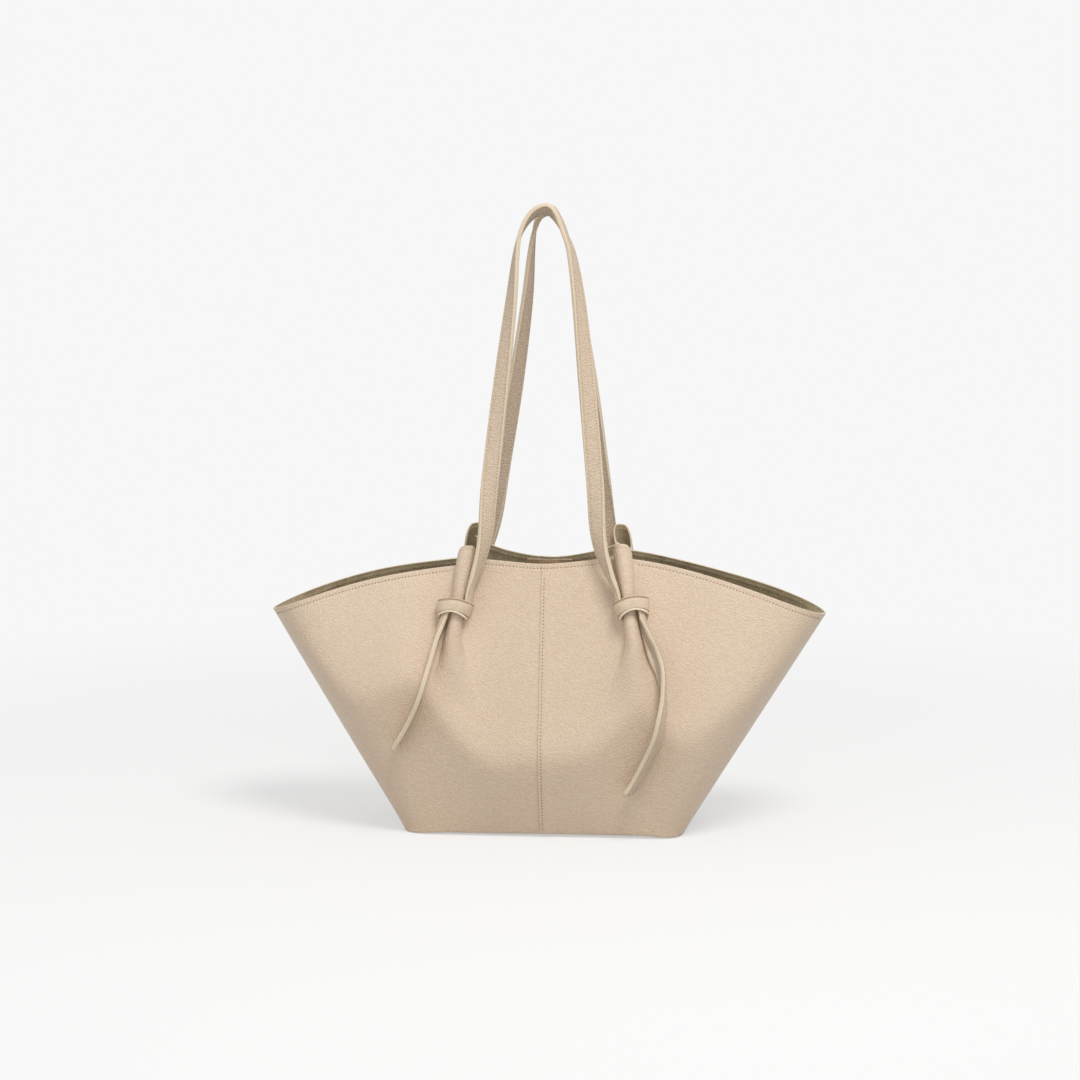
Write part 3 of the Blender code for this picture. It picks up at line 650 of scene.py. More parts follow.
def panelColumns(side):
    wings, loops, middles = panel["wingColumns"], panel["loopColumns"], panel["middleColumns"]
    columns = [("side", share) for share in (0.0, 0.5, 1.0)]
    columns += [("wing", 1 - between(panel["wingStart"], 1.0, (step / wings)**1.5))
                for step in range(wings)]
    columns += [("loop", -1 + 2 * step / loops) for step in range(loops + 1)]
    columns += [("middle", 1 - step / middles) for step in range(1, middles)]
    if side > 0:
        places = [underEdge + panel["lapEase"] * share for share in (1, 0.66, 0.33, 0)]
        places += [*panel["rightSeam"], -panel["lapEdge"]]
    else:
        places = [*panel["leftSeam"], -underEdge]
    return columns + [("seam", x) for x in [panel["lapWidth"] + panel["lapSide"]] + places]


def lap(side, x):
    # The right panel's edge stands proud of the left one
    if side < 0:
        return 0.0
    return panel["lapProud"] * ease(underEdge + panel["lapEase"], underEdge, x)


def sectionPoint(side, kind, value, z):
    if kind == "loop":
        return loopPoint(side, value, z)
    foot, reach = foldX(side, z), foldReach(z)
    x = value
    if kind == "wing":
        x = between(foot + reach, halfWidth(z), value)
    if kind == "middle":
        x = between(panel["lapWidth"] + panel["lapSide"], foot - reach, value)
    if kind == "side":
        x = halfWidth(z)
        near = wall(side * x * (1 - panel["sideStrip"]), z)
        return side * x, -between(0.0001, near, value), z
    return plainPoint(side, side * x, z)


def columnTop(edge, side, kind, value):
    if kind == "loop":
        return topHeight(edge, side, 0.0, value)
    z = body["edgeHeight"]
    for step in range(12):
        z = topHeight(edge, side, sectionPoint(side, kind, value, z)[0])
    return z


def footLift(x):
    # The lower edge rises a little between the base's corners
    share = min(abs(x) / (body["baseWidth"] / 2), 1.0)
    arch = between(*body["footArch"], ease(-0.05, 0.05, x))
    return arch * (1 - ease(0.62, 1.0, share))


def panelPoint(side, kind, value, z, top):
    x, y, z = sectionPoint(side, kind, value, z)
    sunk = hump(top - z - panel["edgeRow"], panel["grooveWidth"])
    if kind == "seam" and side > 0:
        sunk += hump(x - panel["seamRow"] + panel["lapEdge"], panel["grooveWidth"])
    lifted = z + footLift(x) * max(1 - z / body["footArchHeight"], 0.0)**2
    return Vector((x, y - lap(side, side * x) + panel["groove"] * sunk, lifted))


def rowDrops(top):
    drops = panel["drops"]
    count = panel["rows"] - len(drops)
    return list(drops) + [between(drops[-1], top, step / count) for step in range(1, count + 1)]


def makePanel(back, side):
    columns = panelColumns(side)
    edge = topEdge[placeName(back, side)]
    tops = [columnTop(edge, side, kind, value) for kind, value in columns]
    drops = [rowDrops(top) for top in tops]

    def place(i, j):
        i = i if side < 0 else len(columns) - 1 - i
        kind, value = columns[i]
        return panelPoint(side, kind, value, tops[i] - drops[i][panel["rows"] - 1 - j], tops[i])

    bm = shapedGrid(len(columns), panel["rows"], place)
    turnBack(bm, back)
    node = placeName(back, side) + "_panel"
    piece = finishMesh(node + "_leather", bm, ("grain", "suede", "edge"))
    # the leather is thinner under the lap
    full = piece.vertex_groups.new(name="full")
    for vert in piece.data.vertices:
        x = -vert.co.x if back else vert.co.x
        reach = abs(x) if side < 0 or x > 0 else 0.0
        weight = ease(panel["lapWidth"] * 0.6, panel["lapWidth"] * 1.6, reach)
        full.add([vert.index], weight, "REPLACE")
    sheet = solidify(piece, body["leather"], 1, 2)
    sheet.vertex_group = full.name
    sheet.thickness_vertex_group = panel["skived"]
    softEdges(piece, panel["bevel"])
    settle(piece, node)


def sewPanel(back, side):
    # A row under the top edge, and on the right panel one along its lap
    columns = panelColumns(side)[3:]
    edge = topEdge[placeName(back, side)]
    rows = []
    # the fold's own edge shows no stitches
    for kinds in (("wing",), ("middle", "seam")):
        places, outs = [], []
        for kind, value in columns:
            if kind not in kinds or (kind == "seam" and side > 0 and value < 0.0):
                continue
            top = columnTop(edge, side, kind, value)
            here = top - panel["edgeRow"]
            places.append(panelPoint(side, kind, value, here, top))
            outs.append(panelPoint(side, kind, value, here - 0.003, top) - places[-1])
        for i, down in enumerate(outs):
            outs[i] = (down.cross(alongAt(places, i)) * -side).normalized()
        rows.append((places, outs))
    if side > 0:
        x = panel["seamRow"] - panel["lapEdge"]
        top = columnTop(edge, side, "seam", x)
        high, low, steps = top - panel["edgeRow"] - 0.004, 0.004, 120
        places = [panelPoint(side, "seam", x, between(high, low, step / steps), top)
                  for step in range(steps + 1)]
        rows.append((places, [Vector((0, -1, 0))] * len(places)))
    name = placeName(back, side) + "_panel_stitches"
    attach(sewnPiece(name, rows, back, "grain_leather", 0.002, 0.001), "bag")


for back, side in halves:
    makePanel(back, side)
    sewPanel(back, side)
print("panels made")


# Base: a panel between the walls and the board on it

base = {
    "leather": 0.0016,
    "recess": 0.0026,
    "boardThick": 0.0018,
    "boardGap": 0.0003,  # between the leather and the board on it
    "clearance": 0.0008,
    "crowding": 1.5,  # columns stand closer together at both sides
    "cornerStop": 0.996,
    "columns": 60,
    "rows": 24,
    "bevel": 0.0003,
}


def makeBase(name, node, keys, inset, low, thick):
    def place(i, j):
        u = -1 + 2 * i / (base["columns"] - 1)
        v = -1 + 2 * j / (base["rows"] - 1)
        u = copysign(1 - (1 - abs(u))**base["crowding"], u)
        x = u * (halfWidth(low) - inset)
        widest = halfWidth(low) * base["cornerStop"]
        deep = max(wall(min(abs(x), widest), low) - inset, 0.0)
        return Vector((x, v * deep, low + thick))

    bm = shapedGrid(base["columns"], base["rows"], place)
    piece = finishMesh(name, bm, keys)
    solidify(piece, thick, 0, len(keys) - 1)
    softEdges(piece, base["bevel"])
    settle(piece, node)


makeBase("base_panel_leather", "base_panel", ("grain", "edge"),
         body["leather"], base["recess"], base["leather"])
makeBase("base_board_sheet", "base_board", ("board",),
         body["leather"] + base["leather"] + base["clearance"],
         base["recess"] + base["leather"] + base["boardGap"], base["boardThick"])
print("base made")


# Straps: two plies that curl round their own length where the knots pinch them

strap = {
    "width": 0.015,
    "half": 0.00195,  # half the thickness of both plies
    "rootWidth": 0.0123,  # the knots squeeze it to this width
    "rootTaper": 0.012,
    "rootReach": 0.0087,  # from the middle of the fold
    "crownTurn": 124,  # degrees that the strap turns about its own line up to the crown
    "rootTurn": 84,  # and the other way down to its knots, where it goes in edge-on
    "clearance": 0.0012,
    "halfGap": 0.0003,
    "stations": 240,
    "crowding": 1.7,
    "stitchMargin": 0.0024,  # from the edge to the stitches
    "groove": 0.00025,
    "grooveWidth": 0.0007,
    "edgeRound": 0.0007,
    "edgeDome": 0.0003,  # how far the cut edge swells between the two faces
    "axisRise": 0.0055,
    "axisForward": 0.002,
    "feet": (0.004, 0.009, 0.014),  # the foot's stations, down from the root into the knot
    "bend": (-0.003, 0.022),  # heights over the root between which it would bend as the handle swings; read but not used to bend it
    "skip": (0.018, 0.018),  # no stitches this near to its ends
}

# Each handle's legs, seen with it in front: shares of its rise, and distances from the middle
handle = {
    "front": {
        "rise": 0.3393,
        "aside": 0.0,
        "twistLength": 0.25,
        "rootLength": {-1: 0.13, 1: 0.095},
        "shares": (0.13, 0.29, 0.54, 0.76, 0.885, 0.944, 0.987),
        -1: (0.0517, 0.047, 0.0382, 0.03, 0.0261, 0.0217, 0.0118),
        1: (0.0516, 0.0467, 0.0385, 0.0304, 0.0232, 0.0155, 0.0076),
    },
    "back": {
        "rise": 0.3385,
        "aside": -0.0016,
        "twistLength": 0.33,
        "rootLength": {-1: 0.095, 1: 0.12},
        "shares": (0.14, 0.3, 0.54, 0.76, 0.885, 0.944, 0.985),
        -1: (0.0533, 0.047, 0.0377, 0.0272, 0.021, 0.0152, 0.0075),
        1: (0.0543, 0.0453, 0.0307, 0.0195, 0.0151, 0.0121, 0.007),
    },
}

tail = {
    "rootWidth": 0.0112,
    "rootTaper": 0.035,
    "rootReach": 0.0096,
    "headSink": 0.0012,
    "axisDrop": 0.004,
    "stations": 70,
    "clearance": 0.0013,
    "softness": 0.0012,
    "head": (0.014, 0.009, 0.005),  # the head's stations, up from the root into the knot
    "bend": (0.003, -0.02),
    "skip": (0.016, 0.002),
    # out from the fold, down from the root, the turn in degrees, and the width as it curls
    "leftLine": (
        (0.0096, 0.0, -4, 0.012), (0.0165, 0.018, -5, 0.015), (0.0235, 0.042, -5, 0.015),
        (0.0315, 0.07, -5, 0.015), (0.043, 0.095, -5, 0.015), (0.0555, 0.116, -5, 0.015),
    ),
    "rightLine": (
        (0.0096, 0.0, 14, 0.0112), (0.0155, 0.014, 36, 0.011), (0.0205, 0.024, 52, 0.0098),
        (0.0245, 0.034, 54, 0.0098), (0.029, 0.046, 30, 0.0125), (0.0315, 0.066, -4, 0.015),
        (0.0305, 0.082, -20, 0.015), (0.025, 0.106, -27, 0.015), (0.011, 0.137, -28, 0.015),
        (0.0, 0.156, -26, 0.015),
    ),
}


def loopMiddle(side, z):
    x, y, z = loopPoint(side, 0.0, z)
    return Vector((x, y + loopSize("depth", z) / 2, z))


def knotFrame(side):
    # The knot's own axes: across, into the bag and up along the fold
    low = loopMiddle(side, fold["knotHeight"])
    up = (loopMiddle(side, body["edgeHeight"]) - low).normalized()
    across = squared(Vector((side, 0, 0)), up)
    return axesAt(low, across, up.cross(across).normalized() * side, up)


def rootPoints():
    # Where a handle's foot and a tail's head come out of each knot, level on both sides
    half = fold["bandHeight"] / 2
    ways = {"handle": (-strap["rootReach"], -strap["axisForward"], half + strap["axisRise"]),
            "tail": (tail["rootReach"], 0.0, -half - tail["axisDrop"])}
    roots = {(kind, side): knotFrame(side) @ Vector(way)
             for kind, way in ways.items() for side in (-1, 1)}
    for kind in ways:
        for axis in (1, 2):
            level = (roots[kind, -1][axis] + roots[kind, 1][axis]) / 2
            roots[kind, -1][axis] = roots[kind, 1][axis] = level
    return roots


roots = rootPoints()


def curlAngle(share):
    # Half the angle of an arc whose chord is this share of its length
    if share > 0.9995:
        return 0.0
    low, high = 0.0, pi
    for step in range(30):
        middle = (low + high) / 2
        if sin(middle) / middle > share:
            low = middle
        else:
            high = middle
    return (low + high) / 2


class StrapSurface:
    # stations: centre, unit width direction, unit face direction, and width as it curls

    def __init__(self, stations):
        self.stations = stations
        self.angles = [curlAngle(station[3] / strap["width"]) for station in stations]

    def point(self, index, v, lift):
        centre, across, outward, width = self.stations[index]
        half = self.angles[index]
        if half < 1e-4:
            return centre + across * (strap["width"] * v) + outward * lift
        radius = strap["width"] / (2 * half)
        deep = radius * (1 - cos(half))
        angle = 2 * half * v
        grown = radius + lift
        rise = grown * cos(angle) - radius + deep / 2
        return centre + across * (grown * sin(angle)) + outward * rise


def plySection():
    # One ply cut across: from one edge's middle over its face to the other edge, and back inside
    half, thick, rounded = strap["width"] / 2, strap["half"], strap["edgeRound"]
    near = []
    for k in range(4):
        lift = (thick - rounded) * k / 3
        near.append((half + strap["edgeDome"] * (1 - (lift / thick)**2), lift))
    for k in range(1, 4):
        angle = pi / 2 * k / 3
        near.append((half - rounded * (1 - cos(angle)), thick - rounded * (1 - sin(angle))))
    rim = len(near) - 1
    for step in (-2.2, -1.4, -0.9, -0.45, 0.0, 0.45, 0.9, 1.4, 2.2):
        into = strap["stitchMargin"] + step * strap["grooveWidth"]
        near.append((half - into, thick - strap["groove"] * hump(step, 1.0)))
    near.append((half * 0.25, thick))
    section = [(-out, lift) for out, lift in near] + near[::-1]
    return section + [(half * 0.4, 0.0), (-half * 0.4, 0.0)], rim, len(near)


def makePly(name, surface, facing, back):
    section, rim, across = plySection()

    def place(i, j):
        out, lift = section[i % len(section)]
        return surface.point(j, out * facing / strap["width"], lift * facing)

    bm = shapedGrid(len(section) + 1, len(surface.stations), place)
    for number, face in enumerate(bm.faces):
        column = number % len(section)
        if column < rim or 2 * across - 1 - rim <= column < 2 * across - 1:
            face.material_index = 1
    bmesh.ops.remove_doubles(bm, verts=bm.verts, dist=0.00001)
    capped = bmesh.ops.holes_fill(bm, edges=bm.edges)
    for face in capped["faces"]:
        face.material_index = 1
    bmesh.ops.recalc_face_normals(bm, faces=bm.faces)
    turnBack(bm, back)
    piece = finishMesh(name + "_ply", bm, ("strap" if facing > 0 else "lining", "edge"))
    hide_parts(name)
    return piece


def sewPly(name, surface, facing, back, slotName, skip):
    rows = []
    count = range(len(surface.stations))
    for edge in (-1, 1):
        v = edge * (0.5 - strap["stitchMargin"] / strap["width"])
        sunk, above = strap["half"] - strap["groove"], strap["half"] + 0.001
        places = [surface.point(k, v, facing * sunk) for k in count]
        outs = [(surface.point(k, v, facing * above) - places[k]).normalized() for k in count]
        rows.append((places, outs))
    return sewnPiece(name + "_stitches", rows, back, slotName, *skip, hole="faintHoleShade")


def makeStrap(node, surface, back, root, values):
    # Both plies and their stitches, made along the strap and baked in place
    start, end = [turned(root + Vector((0, 0, rise)), back) for rise in values["bend"]]
    for ply, facing in (("outer", 1), ("lining", -1)):
        name = f"{node}_{ply}"
        slotName = "strap_leather" if facing > 0 else "strap_lining"
        piece = makePly(name, surface, facing, back)
        sewn = sewPly(name, surface, facing, back, slotName, values["skip"])
        for part in (piece, sewn):
            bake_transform(part)


def handleStations(shape):
    left, right = roots["handle", -1], roots["handle", 1]
    width, thick = strap["width"], strap["half"]
    crownTurn = radians(strap["crownTurn"])
    crownY = -(width / 2 * sin(crownTurn) - thick * cos(crownTurn) + strap["halfGap"])
    top = left.z + shape["rise"]
    legs = []
    for side, root in ((-1, left), (1, right)):
        legs.append([tuple(root)] + [
            (side * x, between(root.y, crownY, share), root.z + shape["rise"] * share)
            for x, share in zip(shape[side], shape["shares"])])
    crown = (shape["aside"], crownY, top)
    half = strap["stations"] // 2
    rising = [0.5 * (1 - (1 - k / half)**strap["crowding"]) for k in range(half + 1)]
    shares = rising + [1 - share for share in rising[-2::-1]]
    line, length = smoothLine(legs[0] + [crown] + legs[1][::-1], shares)
    print("handle's line:", round(length, 4), "m")
    turns = []
    for i, centre in enumerate(line):
        side = -1 if i <= half else 1
        below = min(max(top - centre[2], 0.0) / shape["twistLength"], 1.0)
        down = max(1 - (centre[2] - left.z) / shape["rootLength"][side], 0.0)
        turn = crownTurn * (1 - sqrt(below)) - radians(strap["rootTurn"]) * down**1.2
        turns.append(turn)
        # The strap's back edge lies on the wall where it turns edge-on
        if centre[2] < body["edgeHeight"]:
            reach = width / 2 * abs(sin(turn)) + thick * cos(turn) + strap["clearance"]
            away = abs(abs(centre[0]) - foldX(side, centre[2])) - foldReach(centre[2])
            behind = wall(centre[0], centre[2]) + shoulder(away, centre[2])
            centre[1] = min(centre[1], -(behind + reach))
    stations = []
    for i, centre in enumerate(line):
        tangent = alongAt(line, i).normalized()
        outY = (Vector((0, 1, 0)) - tangent.y * tangent).normalized()
        inPlane = tangent.cross(outY).normalized()
        outward = (inPlane * sin(turns[i]) - outY * cos(turns[i])).normalized()
        across = outward.cross(tangent).normalized()
        squeezed = ease(-0.002, strap["rootTaper"], centre[2] - left.z)
        curled = between(strap["rootWidth"], width, squeezed)
        stations.append((Vector(centre), across, outward, curled))
    # Both feet run on down into their knots
    for end, side in ((0, -1), (-1, 1)):
        centre, across, outward, curled = stations[end]
        axes = knotFrame(side).to_3x3()
        feet = []
        for drop in strap["feet"]:
            inwards = strap["axisForward"] * drop / strap["feet"][-1]
            place = centre + axes @ Vector((0, inwards, -drop))
            feet.append((place, across, outward, strap["rootWidth"]))
        stations = feet[::-1] + stations if end == 0 else stations + feet
    return stations


def tailStations(side):
    root = roots["tail", side]
    line = tail["leftLine"] if side < 0 else tail["rightLine"]
    foot = foldX(side, fold["knotHeight"])
    first = abs(root.x) - foot
    points = []
    for out, drop, turn, width in line:
        x = foot + out + (first - line[0][0]) * (1 - ease(0.0, tail["rootTaper"], drop))
        points.append((side * x, 0.0, root.z - drop, turn, width))
    shares = [k / (tail["stations"] - 1) for k in range(tail["stations"])]
    data, length = smoothLine(points, shares)
    print("tail's line:", round(length, 4), "m")
    thick = strap["half"]
    centres, leans, widths = [], [], []
    for x, y, z, turn, width in data:
        width = min(width, strap["width"])
        lean = radians(turn)
        reach = width / 2 * cos(lean) + thick * abs(sin(lean))
        inner = abs(x) - width / 2 * sin(lean)
        deep = max(surfaceDepth(side, inner + step, z) for step in (-thick, 0.0, thick))
        y = -softLarger(-root.y, deep + reach + tail["clearance"], tail["softness"])
        centres.append(Vector((x, y, z)))
        leans.append(lean)
        widths.append(width)
    stations = []
    for i, (centre, lean, width) in enumerate(zip(centres, leans, widths)):
        tangent = alongAt(centres, i).normalized()
        across = squared(Vector((sin(lean) * side, -cos(lean), 0)), tangent)
        outward = tangent.cross(across).normalized()
        if outward.x * side < 0:
            outward = -outward
        if outward.cross(tangent).dot(across) < 0:
            across = -across
        stations.append((centre, across, outward, width))
    # The head runs on up into the knot
    centre, across, outward, width = stations[0]
    axes = knotFrame(side).to_3x3()
    up, into = axes @ Vector((0, 0, 1)), axes @ Vector((0, tail["headSink"], 0))
    head = []
    for rise in tail["head"]:
        place = centre + up * rise + into * min(rise / tail["head"][1], 1.0)
        head.append((place, across, outward, tail["rootWidth"]))
    return head + stations


for back, face in ((False, "front"), (True, "back")):
    surface = StrapSurface(handleStations(handle[face]))
    makeStrap(face + "_handle", surface, back, roots["handle", 1], strap)
print("handles made")

tailSurfaces = {side: StrapSurface(tailStations(side)) for side in (-1, 1)}
for back, side in halves:
    node = placeName(back, side) + "_tail"
    makeStrap(node, tailSurfaces[side], back, roots["tail", side], tail)
print("tails made")


# Knots: the strap's turn round each fold, wider at its top edge and raised in front

knot = {
    # from the middle of the fold out to the band, at its lower and its upper edge
    "near": (0.0078, 0.0124),  # towards the handle
    "far": (0.0142, 0.0168),  # towards the tail
    "front": (0.0098, 0.011),
    "behind": 0.0138,
    # heights of both edges in front, and how far they fall away towards the sides
    "heights": (-0.0052, 0.0062),
    "arches": (0.0042, 0.0022),
    "lift": 0.0018,  # the right knots sit this much higher, the left ones lower
    "farLift": 0.0008,
    "thick": 0.0021,
    "squareness": 2.7,
    "around": 96,
    "rows": 29,
    "bulge": 0.0005,
    "roll": 0.0005,  # how far the leather rolls over at its top edge
    # the pale cut edge and the dark line of painted shade beside it, as shares of the band's
    # height
    "pale": (0.15, 0.03),
    "shadeLine": (0.21, 0.15),
    "creaseRow": 0.0017,
    "crease": 0.0006,
    "creaseWidth": 0.0004,
    "bevel": 0.0003,
}


def makeKnot(back, side):
    axes = knotFrame(side)
    count = knot["around"]

    def place(i, j):
        share = j / (knot["rows"] - 1)
        angle = -2 * pi * i / count * side
        near, far, front = [between(*knot[key], share) for key in ("near", "far", "front")]
        deep = (front + knot["behind"]) / 2
        x, y = [copysign(abs(way)**(2 / knot["squareness"]), way)
                for way in (cos(angle), sin(angle))]
        edges = [high - arch * x * x for high, arch in zip(knot["heights"], knot["arches"])]
        z = between(*edges, share)
        puffed = knot["bulge"] * sin(pi * share) - knot["roll"] * ease(0.8, 1.0, share)**2
        for edge in edges:
            away = abs(z - edge) - knot["creaseRow"]
            puffed -= knot["crease"] * hump(away, knot["creaseWidth"])
        z += side * knot["lift"] + side * knot["farLift"] * x
        return axes @ Vector(((far - near) / 2 + ((far + near) / 2 + puffed) * x,
                              (knot["behind"] - front) / 2 + (deep + puffed) * y, z))

    bm = shapedGrid(count + 1, knot["rows"], place)
    for number, face in enumerate(bm.faces):
        share = (number // count + 0.5) / (knot["rows"] - 1)
        upper = share > 0.5
        inwards = min(share, 1.0 - share)
        # band, dark line of painted shade, or pale rim
        face.material_index = (inwards < knot["shadeLine"][upper]) + (inwards < knot["pale"][upper])
    bmesh.ops.remove_doubles(bm, verts=bm.verts, dist=0.00001)
    turnBack(bm, back)
    node = placeName(back, side) + "_knot"
    piece = finishMesh(node + "_band", bm, ("band", "crease", "rim"))
    solidify(piece, knot["thick"], 0, 2)
    softEdges(piece, knot["bevel"], 40)
    settle(piece, node)


for back, side in halves:
    makeKnot(back, side)
print("knots made")


# Closure: facings under the middle of the top edge, with a magnetic snap

closure = {
    "width": 0.042,
    "height": 0.03,
    "topMargin": 0.0015,
    "leather": 0.0012,
    "snapDiameter": 0.018,
    "snapHeight": 0.0032,
    "metal": 0.0006,
    "bore": 0.0066,
    "studClearance": 0.0004,
    "washerThick": 0.0008,
    "washerDiameter": 0.016,
    "washerHole": 0.0064,
    "bulgeReach": 0.005,
    "gap": 0.0003,
    "grooveRow": 0.0025,  # from the facing's edge to its sunk line
    "groove": 0.0002,
    "grooveWidth": 0.0008,
    "bevel": 0.0003,
    "metalBevel": 0.00015,
    "sides": 48,
    "columns": 34,
    "rows": 26,
}


def patchFrame():
    # The middle of the facing: a point on the wall's inner face, and the direction into the bag
    z = topHeight(topEdge["front_right"], 1, 0.0) - closure["topMargin"] - closure["height"] / 2
    here = Vector((0.0, -wall(0.0, z), z))
    upward = (Vector((0.0, -wall(0.0, z + 0.002), z + 0.002)) - here).normalized()
    into = Vector((1, 0, 0)).cross(upward).normalized()
    into = into if into.y > 0 else -into
    return axesAt(here + into * body["leather"], Vector((1, 0, 0)), upward, into), into


patchAxes, intoBag = patchFrame()


def makeFacing(back):
    # Its foot and its snap stay level on both faces, its top follows the edge
    c = closure
    top = topHeight(topEdge[placeName(back, 1)], 1, 0.0) - c["topMargin"]
    low = topHeight(topEdge["front_right"], 1, 0.0) - c["topMargin"] - c["height"]
    radius = c["snapDiameter"] / 2

    def place(i, j):
        x = c["width"] * (i / (c["columns"] - 1) - 0.5)
        z = between(low, top, j / (c["rows"] - 1))
        # it swells over the washer behind it
        away = hypot(x, z - low - c["height"] / 2)
        swell = ease(radius + c["bulgeReach"], radius, away)
        off = c["gap"] + (c["washerThick"] + c["gap"]) * swell + c["leather"]
        edge = min(c["width"] / 2 - abs(x), z - low)
        off -= c["groove"] * hump(edge - c["grooveRow"], c["grooveWidth"])
        return Vector((x, -wall(x, z), z)) + intoBag * (body["leather"] + off)

    bm = shapedGrid(c["columns"], c["rows"], place)
    bmesh.ops.reverse_faces(bm, faces=bm.faces)
    turnBack(bm, back)
    face = "back" if back else "front"
    piece = finishMesh(face + "_snap_facing", bm, ("facing", "edge"))
    solidify(piece, c["leather"], 0, 1)
    softEdges(piece, c["bevel"])
    settle(piece, face + "_snap_patch")


def turnedPiece(node, shape, profile, slotName, back):
    # profile: radius and height pairs round the closed section, or from axis to axis
    bm = bmesh.new()
    verts = [bm.verts.new((radius, 0.0, height)) for radius, height in profile]
    edges = [bm.edges.new(pair) for pair in zip(verts, verts[1:])]
    if profile[0][0] > 0:
        edges.append(bm.edges.new((verts[-1], verts[0])))
    bmesh.ops.spin(bm, geom=verts + edges, cent=(0, 0, 0), axis=(0, 0, 1), angle=2 * pi,
                   steps=closure["sides"], use_merge=True)
    bmesh.ops.remove_doubles(bm, verts=bm.verts, dist=0.000005)
    bmesh.ops.transform(bm, verts=bm.verts, matrix=patchAxes)
    bmesh.ops.recalc_face_normals(bm, faces=bm.faces)
    turnBack(bm, back)
    piece = finishMesh(f"{node}_{shape}", bm, ("magnet" if slotName == "magnet" else "metal",))
    piece.data.set_sharp_from_angle(angle=radians(40))
    softEdges(piece, closure["metalBevel"], 40)
    settle(piece, node)


def makeSnap():
    c = closure
    gap, metal = c["gap"], c["metal"]
    washerTop = gap + c["washerThick"]
    seat = washerTop + gap + c["leather"] + gap
    radius, bore = c["snapDiameter"] / 2, c["bore"] / 2
    top = seat + c["snapHeight"]
    stud = bore - c["studClearance"]
    ring = radius - metal - gap
    cup = [(bore, seat), (radius, seat), (radius, top), (ring - metal, top),
           (ring - metal, top - metal), (radius - metal, top - metal),
           (radius - metal, seat + metal), (bore, seat + metal)]
    low, high = seat + metal + gap, top - metal - gap
    magnet = [(bore + metal, low), (ring, low), (ring, high), (bore + metal, high)]
    plateTop = seat + metal * 2
    plate = [(0.0, seat), (radius, seat), (radius, plateTop), (stud, plateTop), (stud, top),
             (0.0, top)]
    hole, outer = c["washerHole"] / 2, c["washerDiameter"] / 2
    washer = [(hole, gap), (outer, gap), (outer, washerTop), (hole, washerTop)]
    turnedPiece("snap_socket", "cup", cup, "snap_metal", True)
    turnedPiece("snap_magnet", "ring", magnet, "magnet", True)
    turnedPiece("socket_washer", "disc", washer, "snap_metal", True)
    turnedPiece("snap_stud", "plate", plate, "snap_metal", False)
    turnedPiece("stud_washer", "disc", washer, "snap_metal", False)


for back in (False, True):
    makeFacing(back)
makeSnap()
print("closure made")


# Stage: floor, light and camera at the photograph's angle

stage = {
    "floorRadius": 14.0,
    "fadeNear": 0.42,
    "fadeFar": 1.3,
    "white": 0.93,
    "floorWhite": 0.87,
    "floorGlow": 0.55,  # how much of the backdrop's even white the floor has near the bag
    "worldStrength": 0.58,
    "bounce": 0.62,  # how much of the light the floor throws back up
    "azimuth": 5.0,
    "elevation": 7.2,
    "distance": 2.2,
    "target": (-0.006, 0.0, 0.262),
    "lens": 80.7,
    "lit": (0.0, 0.0, 0.2),  # where the lamps point
    # each lamp: place, size, power, and how warm it is
    "lamps": (
        ((0.8, -1.45, 2.85), 1.1, 60.0, (1.0, 0.985, 0.965)),
        ((-1.6, -1.9, 1.4), 1.8, 6.0, (1.0, 0.99, 0.975)),
    ),
}


def grey(key):
    return (stage[key], stage[key], stage[key], 1.0)


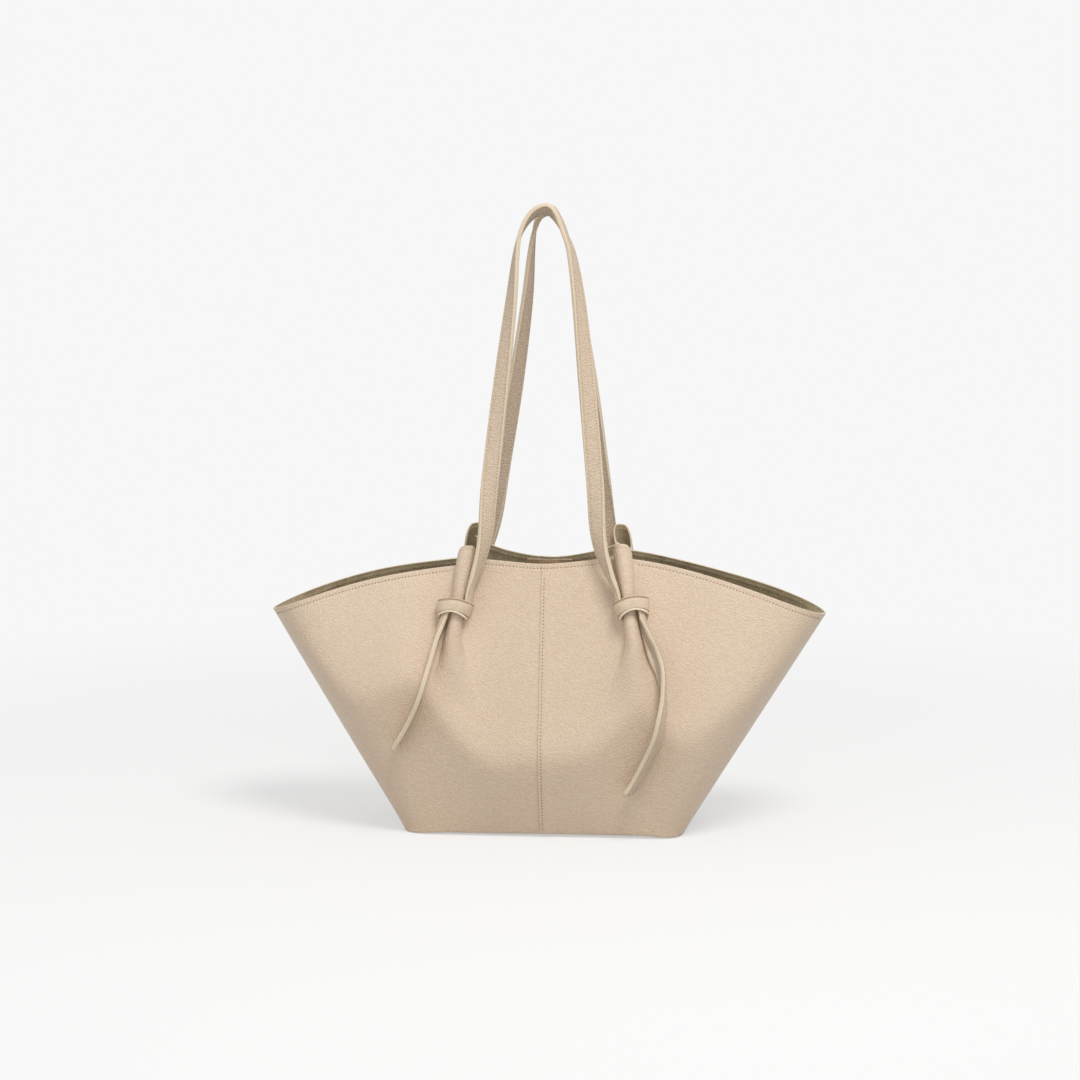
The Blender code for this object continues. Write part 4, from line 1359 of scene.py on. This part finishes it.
def makeFloor():
    bm = bmesh.new()
    bmesh.ops.create_circle(bm, cap_ends=True, segments=96, radius=stage["floorRadius"])
    finishes["floor"], shader, place = startMaterial("Floor")
    tree = place.tree
    far = vectors("LENGTH", place).at("Value").ranged(stage["fadeNear"], stage["fadeFar"])
    rays = place.node("ShaderNodeLightPath")
    seen = (rays.at("Is Camera Ray") + rays.at("Is Glossy Ray")
            + rays.at("Is Transmission Ray")).clamped()
    feed(shader, {
        "Base Color": seen.mixColours(grey("bounce"), grey("floorWhite")),
        "Roughness": 0.8,
        "Specular IOR Level": 0.1,
    })
    # farther out the floor passes into the backdrop's even white
    glow = place.node("ShaderNodeEmission", {}, Color=grey("white"), Strength=1.0)
    even = (far * (1.0 - stage["floorGlow"]) + stage["floorGlow"]) * seen
    lit = Wire(tree, shader.outputs[0])
    mixed = place.node("ShaderNodeMixShader", {}, _0=even, _1=lit, _2=glow)
    feed(tree.nodes["Material Output"], {"Surface": mixed})
    finishMesh("floor", bm, ("floor",), False)


def makeWorld():
    world = bpy.data.worlds.new("Studio")
    bpy.context.scene.world = world
    world.use_nodes = True
    rays = Wire(world.node_tree).node("ShaderNodeLightPath")
    seen = (rays.at("Is Camera Ray") + rays.at("Is Transmission Ray")).clamped()
    feed(world.node_tree.nodes["Background"], {
        "Color": seen.mixColours((1.0, 1.0, 1.0, 1.0), grey("white")),
        "Strength": seen * (1.0 - stage["worldStrength"]) + stage["worldStrength"],
    })


def aim(made, place, away):
    # Lamps and the camera look along their own -Z
    made.location = place
    made.rotation_mode = "QUATERNION"
    made.rotation_quaternion = away.to_track_quat("Z", "Y")


def makeLamps():
    for number, (place, size, power, tint) in enumerate(stage["lamps"]):
        lamp = bpy.data.lights.new(f"lamp_{number}", "AREA")
        lamp.size = size
        lamp.energy = power
        lamp.color = tint
        aim(addObject(lamp.name, lamp), place, Vector(place) - Vector(stage["lit"]))


def makeCamera():
    camera = bpy.data.cameras.new("camera")
    camera.lens = stage["lens"]
    camera.sensor_width = 36.0
    a, e = radians(stage["azimuth"]), radians(stage["elevation"])
    away = Vector((sin(a) * cos(e), -cos(a) * cos(e), sin(e)))
    made = addObject("camera", camera)
    aim(made, Vector(stage["target"]) + away * stage["distance"], away)
    bpy.context.scene.camera = made


makeFloor()
makeWorld()
makeLamps()
makeCamera()
bpy.context.scene.view_settings.view_transform = "Standard"
print("stage made")
